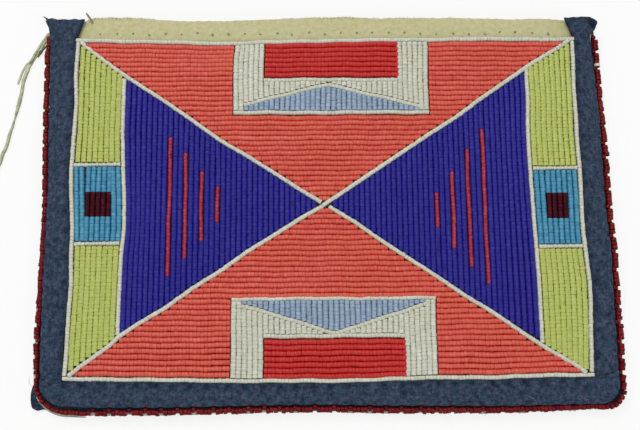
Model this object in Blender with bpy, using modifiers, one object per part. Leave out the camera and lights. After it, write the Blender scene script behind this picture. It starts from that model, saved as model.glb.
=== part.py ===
"""A small flat purse with a beaded hide front, a wool cloth back and a zip in its mouth.

The purse lies on its back: +X is to the right, +Y towards the mouth and +Z up, in metres.
The origin is on the table under the middle of the purse, and the thong isn't counted in that middle.
The front panel rises straight from the bottom seam to the mouth and rolls down to the side seams.
Positions on the panel are counted from the middle of the bead panel, which the empty purse_middle marks.
"""

import math

import bmesh
import bpy
from mathutils import Vector

# Cloth, hide and seams
PANEL_WIDTH = 0.192
PANEL_HEIGHT = 0.1315
HIDE_BAND = 0.008
SIDE_BORDER = 0.0094
BOTTOM_BORDER = 0.0096
WOOL = 0.0015
HIDE = 0.0014
GAP = 0.0003
SEAM_MARGIN = 0.0018
CORNER_RADIUS = 0.009
BACK_CORNER_LEFT = 0.003
BACK_CORNER_RIGHT = 0.0095
BACK_OVERHANG = 0.0012
SPLAY_LEFT = 0.0028
SPLAY_RIGHT = 0.0018
STRIP_FLARE = 0.001
STRIP_CORNER_RISE = 0.0009
STRIP_INNER_FLARE = 0.0028

# Beads
BEAD = 0.0019
ROW_PITCH = 0.00198
ROW_VALLEY = 0.0009
ROW_SHOULDER = 0.3
EDGE_WIDTH = 0.0024
EDGE_HEIGHT = 0.003
EDGE_GROUP = 0.0063
EDGE_DIP = 0.78
EDGE_TOP = 0.0663

# Rise of the front panel
ROLL_WIDTH = 0.0272
ROLL_POWER = 2.5
MOUTH_FLARE = 0.0022
ROLL_STEPS = 4
RISE_STEPS = 7

# Zip
ZIP_DEPTH = 0.0048
TOOTH_PITCH = 0.0036
TOOTH_LENGTH = 0.0014
TOOTH_DEPTH = 0.0016
TOOTH_LAP = 0.0004
CORD_INNER = 0.0011
CORD_WIDTH = 0.0005
SPREAD = 0.0009
SPREAD_LENGTH = 0.0052
TAPE = 0.0004
TAPE_FALL = 0.012
TAPE_BEND = 0.0002
TAPE_SPARE = 0.0055
TRAVEL_END = 0.014
SLIDER_LENGTH = 0.0086
PLATE = 0.0007
FLANGE = 0.0005
POST_WIDTH = 0.0004
POST_LENGTH = 0.0021
BAIL_LENGTH = 0.0034
BAIL_WIDTH = 0.0016
BAIL_WIRE = 0.0007
PULL_WIRE = 0.0008
PULL_LENGTH = 0.0112
PULL_TIP_WIDTH = 0.0032
PULL_HOLE = 0.0016
STOP_LENGTH = 0.0018
STOP_PROUD = 0.0003
STOP_LAP = 0.0006
MOUTH_SPARE = 0.0001

# Motifs: places across and along are counted from the panel's middle, depths from its own edges
DIAGONAL_END = 0.0017
DIAGONAL_SAG_RISING = (0.0012, -0.0001, -0.0001)
DIAGONAL_SAG_FALLING = (-0.0024, -0.0006, -0.0013)
COLUMN_WIDTH = 0.0189
BLOCK_LEFT = (-0.0153, 0.015)
BLOCK_RIGHT = (-0.0173, 0.0128)
SQUARE_LEFT = (-0.0051, 0.0044)
SQUARE_RIGHT = (-0.0067, 0.0031)
SQUARE_DEPTH = 0.005
SQUARE_WIDTH_LEFT = 0.0101
SQUARE_WIDTH_RIGHT = 0.0087
MOTIF_LEFT = -0.0359
MOTIF_RIGHT = 0.0392
MOTIF_DEPTH_TOP = 0.03045
MOTIF_DEPTH_BOTTOM = 0.02955
LEG_WIDTH_LEFT = 0.012
LEG_WIDTH_RIGHT = 0.0116
BAR_DEPTH_TOP = 0.01615
BAR_DEPTH_BOTTOM = 0.01485
PEAK_HALF = 0.0328
PEAK_X_TOP = 0.0006
PEAK_X_BOTTOM = 0.0026
PEAK_HEIGHT_TOP = 0.0105
PEAK_HEIGHT_BOTTOM = 0.012
ACCENTS = (
    ("accent_left_1", -0.0592, -0.0276, 0.0252),
    ("accent_left_2", -0.0531, -0.0209, 0.019),
    ("accent_left_3", -0.0472, -0.0145, 0.012),
    ("accent_left_4", -0.0412, -0.0075, 0.0058),
    ("accent_right_1", 0.0412, -0.0099, 0.0034),
    ("accent_right_2", 0.0471, -0.0178, 0.0117),
    ("accent_right_3", 0.0531, -0.0251, 0.0204),
    ("accent_right_4", 0.0593, -0.0311, 0.0283),
)

# Thong, as hand-chosen points from the middle of the whole purse
THONG_DIAMETER = 0.0013
THONG_LONG = (
    (-0.1067, 0.0712, 0.0025),
    (-0.1092, 0.0709, 0.0023),
    (-0.1111, 0.0696, 0.0013),
    (-0.1127, 0.0677, 0.0007),
    (-0.114, 0.0652, 0.0007),
    (-0.1151, 0.0626, 0.0007),
    (-0.1159, 0.0597, 0.0007),
    (-0.117, 0.0562, 0.0007),
    (-0.118, 0.0536, 0.0007),
    (-0.1188, 0.0504, 0.0007),
    (-0.1197, 0.0466, 0.0007),
    (-0.1203, 0.0434, 0.0007),
    (-0.1208, 0.0405, 0.0007),
    (-0.1214, 0.0376, 0.0007),
    (-0.1219, 0.035, 0.0007),
    (-0.1228, 0.0319, 0.0007),
    (-0.1233, 0.0288, 0.0007),
    (-0.1241, 0.0259, 0.0007),
    (-0.125, 0.0238, 0.0007),
    (-0.1256, 0.0209, 0.0007),
    (-0.1267, 0.0183, 0.0007),
    (-0.1285, 0.0159, 0.0007),
)
THONG_SHORT = (
    (-0.1067, 0.0733, 0.0025),
    (-0.1094, 0.0729, 0.0023),
    (-0.1116, 0.0714, 0.0013),
    (-0.1138, 0.0692, 0.0007),
    (-0.1154, 0.0664, 0.0007),
    (-0.1166, 0.0634, 0.0007),
    (-0.1178, 0.0606, 0.0007),
    (-0.1191, 0.0581, 0.0007),
    (-0.1202, 0.0555, 0.0007),
    (-0.121, 0.0529, 0.0007),
)

# Worked out from the sizes above
PANEL_X = PANEL_WIDTH / 2
PANEL_Y = PANEL_HEIGHT / 2
SEAM_X = PANEL_X + SIDE_BORDER
SEAM_Y = -PANEL_Y - BOTTOM_BORDER
LIP_Y = PANEL_Y + HIDE_BAND
TURN_Y = SEAM_Y + CORNER_RADIUS
MIDDLE_Y = (BOTTOM_BORDER + EDGE_WIDTH - HIDE_BAND) / 2
HIDE_BASE = WOOL + GAP
BEAD_BASE = HIDE_BASE + HIDE + GAP
ROW_CLEAR = BEAD / 2 + GAP
SLOPE = PANEL_HEIGHT / PANEL_WIDTH
DIAGONAL_CLEAR = ROW_CLEAR * math.hypot(1, SLOPE)
FRAME_X = PANEL_X - BEAD / 2
FRAME_Y = PANEL_Y - BEAD / 2
FIELD_X = FRAME_X - ROW_CLEAR
FIELD_Y = FRAME_Y - ROW_CLEAR
INNER_ROW_X = PANEL_X - COLUMN_WIDTH
BAR_LEFT = MOTIF_LEFT + LEG_WIDTH_LEFT
BAR_RIGHT = MOTIF_RIGHT - LEG_WIDTH_RIGHT
FLAT_HALF = SEAM_X - ROLL_WIDTH
ZIP_Y = LIP_Y - ZIP_DEPTH
CLOSED_X = -PANEL_X + TRAVEL_END
SLIDER_TRAVEL = -2 * CLOSED_X
CHAIN_HALF = SLIDER_TRAVEL / 2 + SLIDER_LENGTH / 2
SPREAD_X = [CLOSED_X + SLIDER_LENGTH / 2 - SPREAD_LENGTH * step / 4 for step in range(5)]
CORD_OUTER = CORD_INNER + CORD_WIDTH
SLIDER_WIDE = 2 * (CORD_OUTER + SPREAD + GAP + FLANGE)
SLIDER_NARROW = 2 * (CORD_OUTER + GAP + FLANGE)
SLIDER_DEPTH = TOOTH_DEPTH + 2 * GAP + 2 * PLATE
MOUTH_CLEAR = SLIDER_WIDE + 2 * (TAPE + 2 * GAP + MOUTH_SPARE)
ZIP_Z = WOOL + MOUTH_CLEAR / 2
BAIL_HEIGHT = GAP + PULL_WIRE + GAP + BAIL_WIRE


def diagonal(side, sags):
    """A line from corner to corner, rising for side 1, falling for -1, with three inner points that sag."""
    end_x, end_y = PANEL_X - DIAGONAL_END, PANEL_Y - DIAGONAL_END
    inner = [(share * end_x, side * share * end_y + sag) for share, sag in zip((-0.5, 0.0, 0.5), sags)]
    return (-end_x, -side * end_y), *inner, (end_x, side * end_y)


DIAGONAL_RISING = diagonal(1, DIAGONAL_SAG_RISING)
DIAGONAL_FALLING = diagonal(-1, DIAGONAL_SAG_FALLING)


def share_across(x):
    """The share of the front panel's rise that is left at x, from 1 in the flat middle to 0 at the seam."""
    inside = max(0.0, min(1.0, (abs(x) - FLAT_HALF) / (SEAM_X - FLAT_HALF)))
    return 1 - inside**ROLL_POWER


def share_along(y):
    """The share of the front panel's rise at y, from 0 at the bottom seam to 1 at the mouth."""
    return max(0.0, min(1.0, (y - SEAM_Y) / (LIP_Y - SEAM_Y)))


LOWEST_AT_SLIDER = share_across(CHAIN_HALF) * share_along(ZIP_Y - SLIDER_DEPTH / 2)
MOUTH_RISE = (MOUTH_CLEAR - GAP) / LOWEST_AT_SLIDER


def lift(x, y):
    """How far the front panel at x, y stands above its place at the seams."""
    outside = max(0.0, min(1.0, (abs(x) - FLAT_HALF) / (SEAM_X - FLAT_HALF)))
    open_end = max(0.0, min(1.0, (y - EDGE_TOP) / (LIP_Y - EDGE_TOP)))
    return MOUTH_RISE * share_across(x) * share_along(y) + MOUTH_FLARE * outside**2 * open_end


ROLL_X = (
    *(FLAT_HALF + (SEAM_X - FLAT_HALF) * step / ROLL_STEPS for step in range(ROLL_STEPS)),
    SEAM_X - SEAM_MARGIN,
)
RISE_Y = tuple(SEAM_Y + (EDGE_TOP - SEAM_Y) * step / RISE_STEPS for step in range(1, RISE_STEPS + 1))


def new_collection(name):
    collection = bpy.data.collections.new(name)
    bpy.context.scene.collection.children.link(collection)
    return collection


def clear_scene():
    for old in list(bpy.data.objects):
        bpy.data.objects.remove(old)


clear_scene()
PURSE = new_collection("beaded_zip_purse")
CUTTERS = new_collection("purse_cutters")
MIDDLE = bpy.data.objects.new("purse_middle", None)
MIDDLE.location.y = MIDDLE_Y
PURSE.objects.link(MIDDLE)


def make_material(name, colour, roughness, metallic=0.0):
    material = bpy.data.materials.new(name)
    material.use_nodes = True
    shader = material.node_tree.nodes["Principled BSDF"]
    shader.inputs["Base Color"].default_value = (*colour, 1)
    shader.inputs["Roughness"].default_value = roughness
    shader.inputs["Metallic"].default_value = metallic
    material.diffuse_color = (*colour, 1)
    return material


CORAL = make_material("coral_beads", (0.67, 0.09, 0.06), 0.35)
COBALT = make_material("cobalt_beads", (0.03, 0.02, 0.24), 0.3)
LIME = make_material("yellow_green_beads", (0.43, 0.5, 0.12), 0.35)
TURQUOISE = make_material("turquoise_beads", (0.07, 0.35, 0.52), 0.3)
PALE_BLUE = make_material("pale_blue_beads", (0.22, 0.38, 0.62), 0.35)
WHITE = make_material("white_beads", (0.62, 0.61, 0.52), 0.35)
RED = make_material("red_beads", (0.45, 0.016, 0.02), 0.3)
GARNET = make_material("garnet_beads", (0.06, 0.003, 0.006), 0.2)
CRIMSON = make_material("crimson_beads", (0.33, 0.03, 0.08), 0.3)
DARK_RED = make_material("edge_beads", (0.16, 0.008, 0.014), 0.25)
NAVY = make_material("navy_wool", (0.032, 0.058, 0.102), 0.95)
CREAM = make_material("cream_hide", (0.55, 0.53, 0.31), 0.9)
PALE_HIDE = make_material("pale_thong", (0.45, 0.44, 0.32), 0.85)
BRASS = make_material("zip_brass", (0.62, 0.42, 0.16), 0.35, 1.0)
TAPE_CLOTH = make_material("zip_tape", (0.03, 0.035, 0.05), 0.9)


def add_object(name, data, material, parent=MIDDLE):
    data.materials.clear()
    data.materials.append(material)
    made = bpy.data.objects.new(name, data)
    made.parent = parent
    PURSE.objects.link(made)
    return made


def mesh_from(bm, name):
    bmesh.ops.recalc_face_normals(bm, faces=bm.faces)
    mesh = bpy.data.meshes.new(name)
    bm.to_mesh(mesh)
    bm.free()
    return mesh


def add_cutter(name, bm):
    cutter = bpy.data.objects.new(name, mesh_from(bm, name))
    cutter.parent = MIDDLE
    cutter.hide_render = True
    cutter.display_type = "WIRE"
    CUTTERS.objects.link(cutter)
    return cutter


def add_boolean(target, other, operation="DIFFERENCE"):
    boolean = target.modifiers.new(other.name, "BOOLEAN")
    boolean.operation = operation
    boolean.solver = "EXACT"
    boolean.object = other


def cut_at(bm, faces, axis, positions):
    """Cuts the faces by a plane across the axis at each position, and returns all the pieces."""
    normal = Vector((1, 0, 0)) if axis == 0 else Vector((0, 1, 0))
    for position in positions:
        edges = {edge for face in faces for edge in face.edges}
        points = {point for face in faces for point in face.verts}
        cut = bmesh.ops.bisect_plane(
            bm,
            geom=[*points, *edges, *faces],
            dist=1e-7,
            plane_co=normal * position,
            plane_no=normal,
        )
        faces = [piece for piece in cut["geom"] if isinstance(piece, bmesh.types.BMFace)]
    return faces


def raise_prism(bm, outline, low, high):
    """A prism on the outline from low to high, cut where the panel rolls, and its top faces."""
    base = bm.faces.new([bm.verts.new((x, y, low)) for x, y in outline])
    faces = cut_at(bm, [base], 0, [side * x for side in (-1, 1) for x in ROLL_X])
    flat = [face for face in faces if abs(face.calc_center_median().x) < FLAT_HALF]
    faces = flat + cut_at(bm, [face for face in faces if face not in flat], 1, RISE_Y)
    top = bmesh.ops.extrude_face_region(bm, geom=faces)["geom"]
    for piece in top:
        if isinstance(piece, bmesh.types.BMVert):
            piece.co.z = high
    return [piece for piece in top if isinstance(piece, bmesh.types.BMFace)]


def drape(bm):
    for point in bm.verts:
        point.co.z += lift(point.co.x, point.co.y)


def slab(name, outline, low, high, material, draped=True):
    bm = bmesh.new()
    raise_prism(bm, outline, low, high)
    if draped:
        drape(bm)
    return add_object(name, mesh_from(bm, name), material)


def bead_field(name, outline, across, material):
    """A field of bead rows as one ridged slab. across is 0 for rows along Y, and 1 for rows along X."""
    first = min(point[across] for point in outline)
    width = max(point[across] for point in outline) - first
    rows = max(1, round(width / ROW_PITCH))
    pitch = width / rows
    bm = bmesh.new()
    faces = raise_prism(bm, outline, BEAD_BASE, BEAD_BASE + BEAD)
    valleys = [first + pitch * row for row in range(1, rows)]
    sides = (ROW_SHOULDER, 1 - ROW_SHOULDER)
    shoulders = [first + pitch * (row + side) for row in range(rows) for side in sides]
    faces = cut_at(bm, faces, across, valleys + shoulders)
    for point in {point for face in faces for point in face.verts}:
        row = (point.co[across] - first) / pitch
        if abs(row - round(row)) < ROW_SHOULDER / 2:
            point.co.z -= ROW_VALLEY
    drape(bm)
    return add_object(name, mesh_from(bm, name), material)


def box_between(lower, upper):
    """A box between two opposite corners."""
    lower, upper = Vector(lower), Vector(upper)
    bm = bmesh.new()
    bmesh.ops.create_cube(bm, size=1)
    bmesh.ops.scale(bm, vec=upper - lower, verts=bm.verts)
    bmesh.ops.translate(bm, vec=(lower + upper) / 2, verts=bm.verts)
    return bm


def field_slot(name, lower, upper):
    """A tall box between two corners on the panel, which cuts a slot through a bead field."""
    top = BEAD_BASE + BEAD + MOUTH_RISE + GAP
    return add_cutter(name, box_between((*lower, 0), (*upper, top)))


def line_y(line, x):
    """The height of a broken line at x."""
    for (x0, y0), (x1, y1) in zip(line, line[1:]):
        if x <= x1:
            break
    return y0 + (y1 - y0) * (x - x0) / (x1 - x0)


def line_x(line, y):
    """Where a broken line reaches the height y."""
    for (x0, y0), (x1, y1) in zip(line, line[1:]):
        if min(y0, y1) <= y <= max(y0, y1):
            break
    return x0 + (x1 - x0) * (y - y0) / (y1 - y0)


def moved(line, rise):
    return tuple((x, y + rise) for x, y in line)


def between(line, x0, x1):
    """The line's own points between x0 and x1, in that order."""
    inner = [point for point in line if min(x0, x1) < point[0] < max(x0, x1)]
    return inner if x0 < x1 else inner[::-1]


def crossing(first, second):
    """The point where two broken lines that run across the whole panel cross."""
    low, high = first[0][0], first[-1][0]
    sign = line_y(first, low) > line_y(second, low)
    for _ in range(50):
        x = (low + high) / 2
        if (line_y(first, x) > line_y(second, x)) == sign:
            low = x
        else:
            high = x
    return x, line_y(first, x)


def curve_object(name, places, radius, resolution, material, swell=None, cyclic=False):
    """A round bar along the places, with closed ends and an optional radius factor at each place."""
    curve = bpy.data.curves.new(name, "CURVE")
    curve.dimensions = "3D"
    curve.bevel_depth = radius
    curve.bevel_resolution = resolution
    curve.use_fill_caps = True
    spline = curve.splines.new("POLY")
    spline.points.add(len(places) - 1)
    for index, (point, place) in enumerate(zip(spline.points, places)):
        point.co = (*place, 1)
        point.radius = swell[index] if swell else 1.0
    spline.use_cyclic_u = cyclic
    return add_object(name, curve, material)


def rolled(line):
    """The line with a point added wherever it crosses the roll of the panel."""
    points = [line[0]]
    for (x0, y0), (x1, y1) in zip(line, line[1:]):
        cuts = [side * x for side in (-1, 1) for x in ROLL_X if min(x0, x1) < side * x < max(x0, x1)]
        for x in sorted(cuts, reverse=x1 < x0):
            points.append((x, y0 + (y1 - y0) * (x - x0) / (x1 - x0)))
        points.append((x1, y1))
    return points


def bead_row(name, line, material, cyclic=False):
    """A single row of beads laid along a line on the panel."""
    places = [(x, y, BEAD_BASE + BEAD / 2 + lift(x, y)) for x, y in rolled(line)]
    if cyclic:
        places.pop()
    return curve_object(name, places, BEAD / 2, 1, material, cyclic=cyclic)


def arc(centre, radius, start, end, steps=6):
    angles = [math.radians(start + (end - start) * step / steps) for step in range(steps + 1)]
    return [(centre[0] + radius * math.cos(a), centre[1] + radius * math.sin(a)) for a in angles]


def round_bottom(half_width, bottom, left_radius, right_radius):
    """The two bottom corners of an outline, from the left side round to the right side."""
    left = arc((-half_width + left_radius, bottom + left_radius), left_radius, 180, 270)
    right = arc((half_width - right_radius, bottom + right_radius), right_radius, 270, 360)
    return left + right


def splayed(x, y):
    """A side's x, moved outwards as far as the purse has widened at y on its way to the mouth."""
    share = max(0.0, min(1.0, (y - TURN_Y) / (LIP_Y - TURN_Y)))
    return x - SPLAY_LEFT * share if x < 0 else x + SPLAY_RIGHT * share


def build_panels():
    back_x = SEAM_X + BACK_OVERHANG
    back_corners = round_bottom(back_x, SEAM_Y - BACK_OVERHANG, BACK_CORNER_LEFT, BACK_CORNER_RIGHT)
    back = [(splayed(-back_x, LIP_Y), LIP_Y), *back_corners, (splayed(back_x, LIP_Y), LIP_Y)]
    slab("back_panel", back, 0, WOOL, NAVY, draped=False)
    hide_x = SEAM_X - SEAM_MARGIN
    hide_corner = CORNER_RADIUS - SEAM_MARGIN
    hide_corners = round_bottom(hide_x, SEAM_Y + SEAM_MARGIN, hide_corner, hide_corner)
    hide = [(splayed(-hide_x, LIP_Y), LIP_Y), *hide_corners, (splayed(hide_x, LIP_Y), LIP_Y)]
    slab("front_panel", hide, HIDE_BASE, HIDE_BASE + HIDE, CREAM)


def build_wool_strips():
    inner = PANEL_X + GAP
    outer = SEAM_X - GAP
    join = -PANEL_Y
    top = LIP_Y - GAP
    outer_side = [
        (outer, join),
        (outer, EDGE_TOP),
        (outer + STRIP_FLARE, (EDGE_TOP + top) / 2),
        (outer + STRIP_FLARE, top + STRIP_CORNER_RISE),
    ]
    inner_side = [(inner - STRIP_INNER_FLARE, top), (inner, PANEL_Y), (inner, join)]
    for name, side in (("wool_strip_left", -1), ("wool_strip_right", 1)):
        outline = [(splayed(side * x, y), y) for x, y in outer_side]
        outline += [(side * x, y) for x, y in inner_side]
        slab(name, outline, BEAD_BASE, BEAD_BASE + WOOL, NAVY)
    radius = CORNER_RADIUS - GAP
    corners = round_bottom(outer, SEAM_Y + GAP, radius, radius)
    bottom = [(-outer, join - GAP), *corners, (outer, join - GAP)]
    slab("wool_strip_bottom", bottom, BEAD_BASE, BEAD_BASE + WOOL, NAVY)


def edge_run(name, path):
    """Edge beading along a path: a bar that swells once in each stitched group of beads."""
    lengths = [math.dist(a, b) for a, b in zip(path, path[1:])]
    groups = round(sum(lengths) / EDGE_GROUP)
    stations = [(group + part) / groups for group in range(groups) for part in (0.0, 0.5)]
    stations.append(1.0)
    places = []
    for station in stations:
        left = station * sum(lengths)
        index = 0
        while index < len(lengths) - 1 and left > lengths[index]:
            left -= lengths[index]
            index += 1
        share = left / lengths[index]
        (x0, y0), (x1, y1) = path[index], path[index + 1]
        places.append((x0 + (x1 - x0) * share, y0 + (y1 - y0) * share, 0))
    swell = [EDGE_DIP if index % 2 == 0 else 1.0 for index in range(len(places))]
    run = curve_object(name, places, EDGE_WIDTH / 2, 1, DARK_RED, swell)
    run.scale.z = EDGE_HEIGHT / EDGE_WIDTH
    run.location.z = WOOL + GAP + EDGE_HEIGHT / 2


def build_edge_beading():
    middle_x = SEAM_X + EDGE_WIDTH / 2
    middle_y = SEAM_Y - EDGE_WIDTH / 2
    radius = CORNER_RADIUS + EDGE_WIDTH / 2
    top, turn = EDGE_TOP - GAP, TURN_Y + GAP
    edge_run("edge_beading_left", [(splayed(-middle_x, top), top), (-middle_x, turn)])
    edge_run("edge_beading_right", [(splayed(middle_x, top), top), (middle_x, turn)])
    edge_run("edge_beading_bottom", round_bottom(middle_x, middle_y, radius, radius))


def motif_notch(reach, side):
    """The corners of the motif's place in a coral field, from right to left."""
    edge = side * FIELD_Y
    left = MOTIF_LEFT - GAP
    right = MOTIF_RIGHT + GAP
    inner = side * (reach - ROW_CLEAR)
    return [(right, edge), (right, inner), (left, inner), (left, edge)]


def diagonals_beside(side):
    """The clear edges above and below a cobalt field: on the left the falling diagonal is the upper one."""
    upper, lower = (DIAGONAL_FALLING, DIAGONAL_RISING) if side < 0 else (DIAGONAL_RISING, DIAGONAL_FALLING)
    return moved(upper, -DIAGONAL_CLEAR), moved(lower, DIAGONAL_CLEAR)


def build_coral_field(name, side, reach):
    """A field between the two diagonals and the panel's edge, side 1 at the mouth and -1 at the bottom."""
    left, right = (DIAGONAL_FALLING, DIAGONAL_RISING) if side > 0 else (DIAGONAL_RISING, DIAGONAL_FALLING)
    left = moved(left, side * DIAGONAL_CLEAR)
    right = moved(right, side * DIAGONAL_CLEAR)
    edge = side * FIELD_Y
    start, end = (line_x(left, edge), edge), (line_x(right, edge), edge)
    point = crossing(left, right)
    outline = [start, *between(left, start[0], point[0]), point]
    outline += [*between(right, point[0], end[0]), end, *motif_notch(reach, side)]
    bead_field(name, outline, 1, CORAL)


def build_cobalt_field(name, side):
    upper, lower = diagonals_beside(side)
    x = side * (INNER_ROW_X - ROW_CLEAR)
    point = crossing(upper, lower)
    outline = [(x, line_y(upper, x)), *between(upper, x, point[0]), point]
    outline += [*between(lower, point[0], x), (x, line_y(lower, x))]
    field = bead_field(name, outline, 0, COBALT)
    for accent, middle, low, high in ACCENTS:
        if middle * side > 0:
            corners = (middle - ROW_CLEAR, low - GAP), (middle + ROW_CLEAR, high + GAP)
            add_boolean(field, field_slot(f"{accent}_slot", *corners))


def build_accents():
    for name, x, low, high in ACCENTS:
        bead_row(name, [(x, low), (x, high)], CRIMSON)


def build_side_column(label, side, block, square, square_width):
    """A column beside the cobalt field: green, a turquoise block with a garnet square in it, and green."""
    near, far = side * (INNER_ROW_X + ROW_CLEAR), side * FIELD_X
    low, high = block
    upper, lower = diagonals_beside(side)
    for name, line, edge in (("upper", upper, high + ROW_CLEAR), ("lower", lower, low - ROW_CLEAR)):
        outline = [(near, edge), (near, line_y(line, near)), (far, line_y(line, far)), (far, edge)]
        bead_field(f"green_field_{name}_{label}", outline, 0, LIME)
    top, bottom = high - ROW_CLEAR, low + ROW_CLEAR
    outline = [(near, bottom), (near, top), (far, top), (far, bottom)]
    field = bead_field(f"turquoise_block_{label}", outline, 0, TURQUOISE)
    x0, x1 = sorted(side * (PANEL_X - SQUARE_DEPTH - width) for width in (0, square_width))
    y0, y1 = square
    slot = field_slot(f"garnet_slot_{label}", (x0 - GAP, y0 - GAP), (x1 + GAP, y1 + GAP))
    add_boolean(field, slot)
    bead_field(f"garnet_square_{label}", [(x0, y0), (x0, y1), (x1, y1), (x1, y0)], 0, GARNET)
    ends = side * (INNER_ROW_X + 2 * ROW_CLEAR), side * (FRAME_X - 2 * ROW_CLEAR)
    for name, y in (("upper", high), ("lower", low)):
        bead_row(f"white_cross_row_{name}_{label}", [(ends[0], y), (ends[1], y)], WHITE)


def build_motif(label, side, reach, bar_inner, peak_x, peak_height):
    """The white frame round a red bar, with a low pale blue peak inside its open side."""
    edge = side * FIELD_Y
    peak = reach + peak_height
    base = side * (reach + ROW_CLEAR)
    bar = side * (bar_inner - GAP)
    tip = side * (peak + GAP)
    outline = [
        (MOTIF_LEFT, edge),
        (MOTIF_LEFT, base),
        (peak_x - PEAK_HALF, base),
        (peak_x, tip),
        (peak_x + PEAK_HALF, base),
        (MOTIF_RIGHT, base),
        (MOTIF_RIGHT, edge),
        (BAR_RIGHT + GAP, edge),
        (BAR_RIGHT + GAP, bar),
        (BAR_LEFT - GAP, bar),
        (BAR_LEFT - GAP, edge),
    ]
    bead_field(f"white_motif_{label}", outline, 0, WHITE)
    inner = PEAK_HALF * (peak - reach - ROW_CLEAR) / (peak + GAP - reach - ROW_CLEAR) - GAP
    triangle = [(peak_x - inner, base), (peak_x, side * peak), (peak_x + inner, base)]
    bead_field(f"pale_blue_peak_{label}", triangle, 0, PALE_BLUE)
    inner_edge = side * bar_inner
    corners = [(BAR_LEFT, edge), (BAR_LEFT, inner_edge), (BAR_RIGHT, inner_edge), (BAR_RIGHT, edge)]
    bead_field(f"red_bar_{label}", corners, 1, RED)
    row = [(MOTIF_LEFT + BEAD / 2, side * reach), (MOTIF_RIGHT - BEAD / 2, side * reach)]
    bead_row(f"white_base_row_{label}", row, WHITE)


def build_white_rows():
    corners = [(-FRAME_X, FRAME_Y), (FRAME_X, FRAME_Y), (FRAME_X, -FRAME_Y), (-FRAME_X, -FRAME_Y)]
    bead_row("white_outline_frame", [*corners, corners[0]], WHITE, cyclic=True)
    clear_y = FRAME_Y - ROW_CLEAR - BEAD / 2
    low, high = line_x(DIAGONAL_RISING, -clear_y), line_x(DIAGONAL_RISING, clear_y)
    rising = [(low, -clear_y), *between(DIAGONAL_RISING, low, high), (high, clear_y)]
    bead_row("white_diagonal_rising", rising, WHITE)
    left, right = line_x(DIAGONAL_FALLING, clear_y), line_x(DIAGONAL_FALLING, -clear_y)
    middle_x, _ = crossing(DIAGONAL_RISING, DIAGONAL_FALLING)
    break_x = (BEAD + GAP) / 2 / math.sin(2 * math.atan(SLOPE)) + BEAD / 2
    for name, start, end in (("upper", left, middle_x - break_x), ("lower", middle_x + break_x, right)):
        points = [(start, line_y(DIAGONAL_FALLING, start)), *between(DIAGONAL_FALLING, start, end)]
        points.append((end, line_y(DIAGONAL_FALLING, end)))
        bead_row(f"white_diagonal_falling_{name}", points, WHITE)
    half_slant = BEAD / 2 * SLOPE
    for label, side in (("left", -1), ("right", 1)):
        x = side * INNER_ROW_X
        high, low = (line_y(line, x) for line in diagonals_beside(side))
        bead_row(f"white_inner_row_{label}", [(x, low + half_slant), (x, high - half_slant)], WHITE)


def spread_at(x):
    """How far each tooth row stands off its closed place: none along the chain, more inside the slider."""
    start = CLOSED_X + SLIDER_LENGTH / 2 - GAP
    share = max(0.0, min(1.0, (start - x) / SPREAD_LENGTH))
    return SPREAD * share * share * (3 - 2 * share)


def tooth_row(name, side):
    """One row of teeth on its cord: a comb, outlined in X and Z and as deep in Y as a tooth."""
    count = round(2 * CHAIN_HALF / TOOTH_PITCH) - 1
    first = -CHAIN_HALF + (TOOTH_PITCH / 4 if side > 0 else TOOTH_PITCH * 3 / 4)
    comb = [(-CHAIN_HALF, CORD_INNER)]
    for tooth in range(count):
        x = first + tooth * TOOTH_PITCH
        comb.append((x, CORD_INNER))
        comb.append((x, -TOOTH_LAP))
        comb.append((x + TOOTH_LENGTH, -TOOTH_LAP))
        comb.append((x + TOOTH_LENGTH, CORD_INNER))
    comb += [(CHAIN_HALF, CORD_INNER), (CHAIN_HALF, CORD_OUTER)]
    comb += [(x, CORD_OUTER) for x in SPREAD_X] + [(-CHAIN_HALF, CORD_OUTER)]
    outline = [(x, ZIP_Z + side * (out + spread_at(x))) for x, out in comb]
    bm = zip_prism(outline, ZIP_Y - TOOTH_DEPTH / 2, ZIP_Y + TOOTH_DEPTH / 2)
    add_object(name, mesh_from(bm, name), BRASS)


def tape_wall(x, y, side):
    """The height of the cloth that the tape's fallen part lies along, from which it keeps its gap."""
    inner = HIDE_BASE + lift(x, y) if side > 0 else WOOL
    return inner - side * (GAP + TAPE / 2)


def build_tape(name, side):
    """A zip tape: it leaves the tooth row level, bends at the cloth and falls along its inner face."""
    half = CHAIN_HALF + TAPE_SPARE
    rolls = [sign * x for sign in (-1, 1) for x in ROLL_X if x < half]
    stations = sorted({-half, half, 0.0, *SPREAD_X, *rolls})
    bm = bmesh.new()
    rows = []
    for x in stations:
        start = ZIP_Z + side * (CORD_OUTER + GAP + spread_at(x))
        falls = (TAPE_BEND, TAPE_FALL / 2, TAPE_FALL)
        level_end = tape_wall(x, ZIP_Y, side) - side * TAPE_BEND
        profile = [(ZIP_Y, start), (ZIP_Y, level_end)]
        profile += [(ZIP_Y - fall, tape_wall(x, ZIP_Y - fall, side)) for fall in falls]
        rows.append([bm.verts.new((x, y, z)) for y, z in profile])
    for first, second in zip(rows, rows[1:]):
        for index in range(len(first) - 1):
            bm.faces.new((first[index], first[index + 1], second[index + 1], second[index]))
    tape = add_object(name, mesh_from(bm, name), TAPE_CLOTH)
    shell = tape.modifiers.new("thickness", "SOLIDIFY")
    shell.thickness = TAPE
    shell.offset = 0
    shell.use_even_offset = True


def zip_prism(outline, low_y, high_y):
    """A prism on an outline in X and Z, from low_y to high_y."""
    bm = bmesh.new()
    face = bm.faces.new([bm.verts.new((x, low_y, z)) for x, z in outline])
    moved_up = bmesh.ops.extrude_face_region(bm, geom=[face])["geom"]
    moved_points = [piece for piece in moved_up if isinstance(piece, bmesh.types.BMVert)]
    bmesh.ops.translate(bm, vec=(0, high_y - low_y, 0), verts=moved_points)
    return bm


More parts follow.
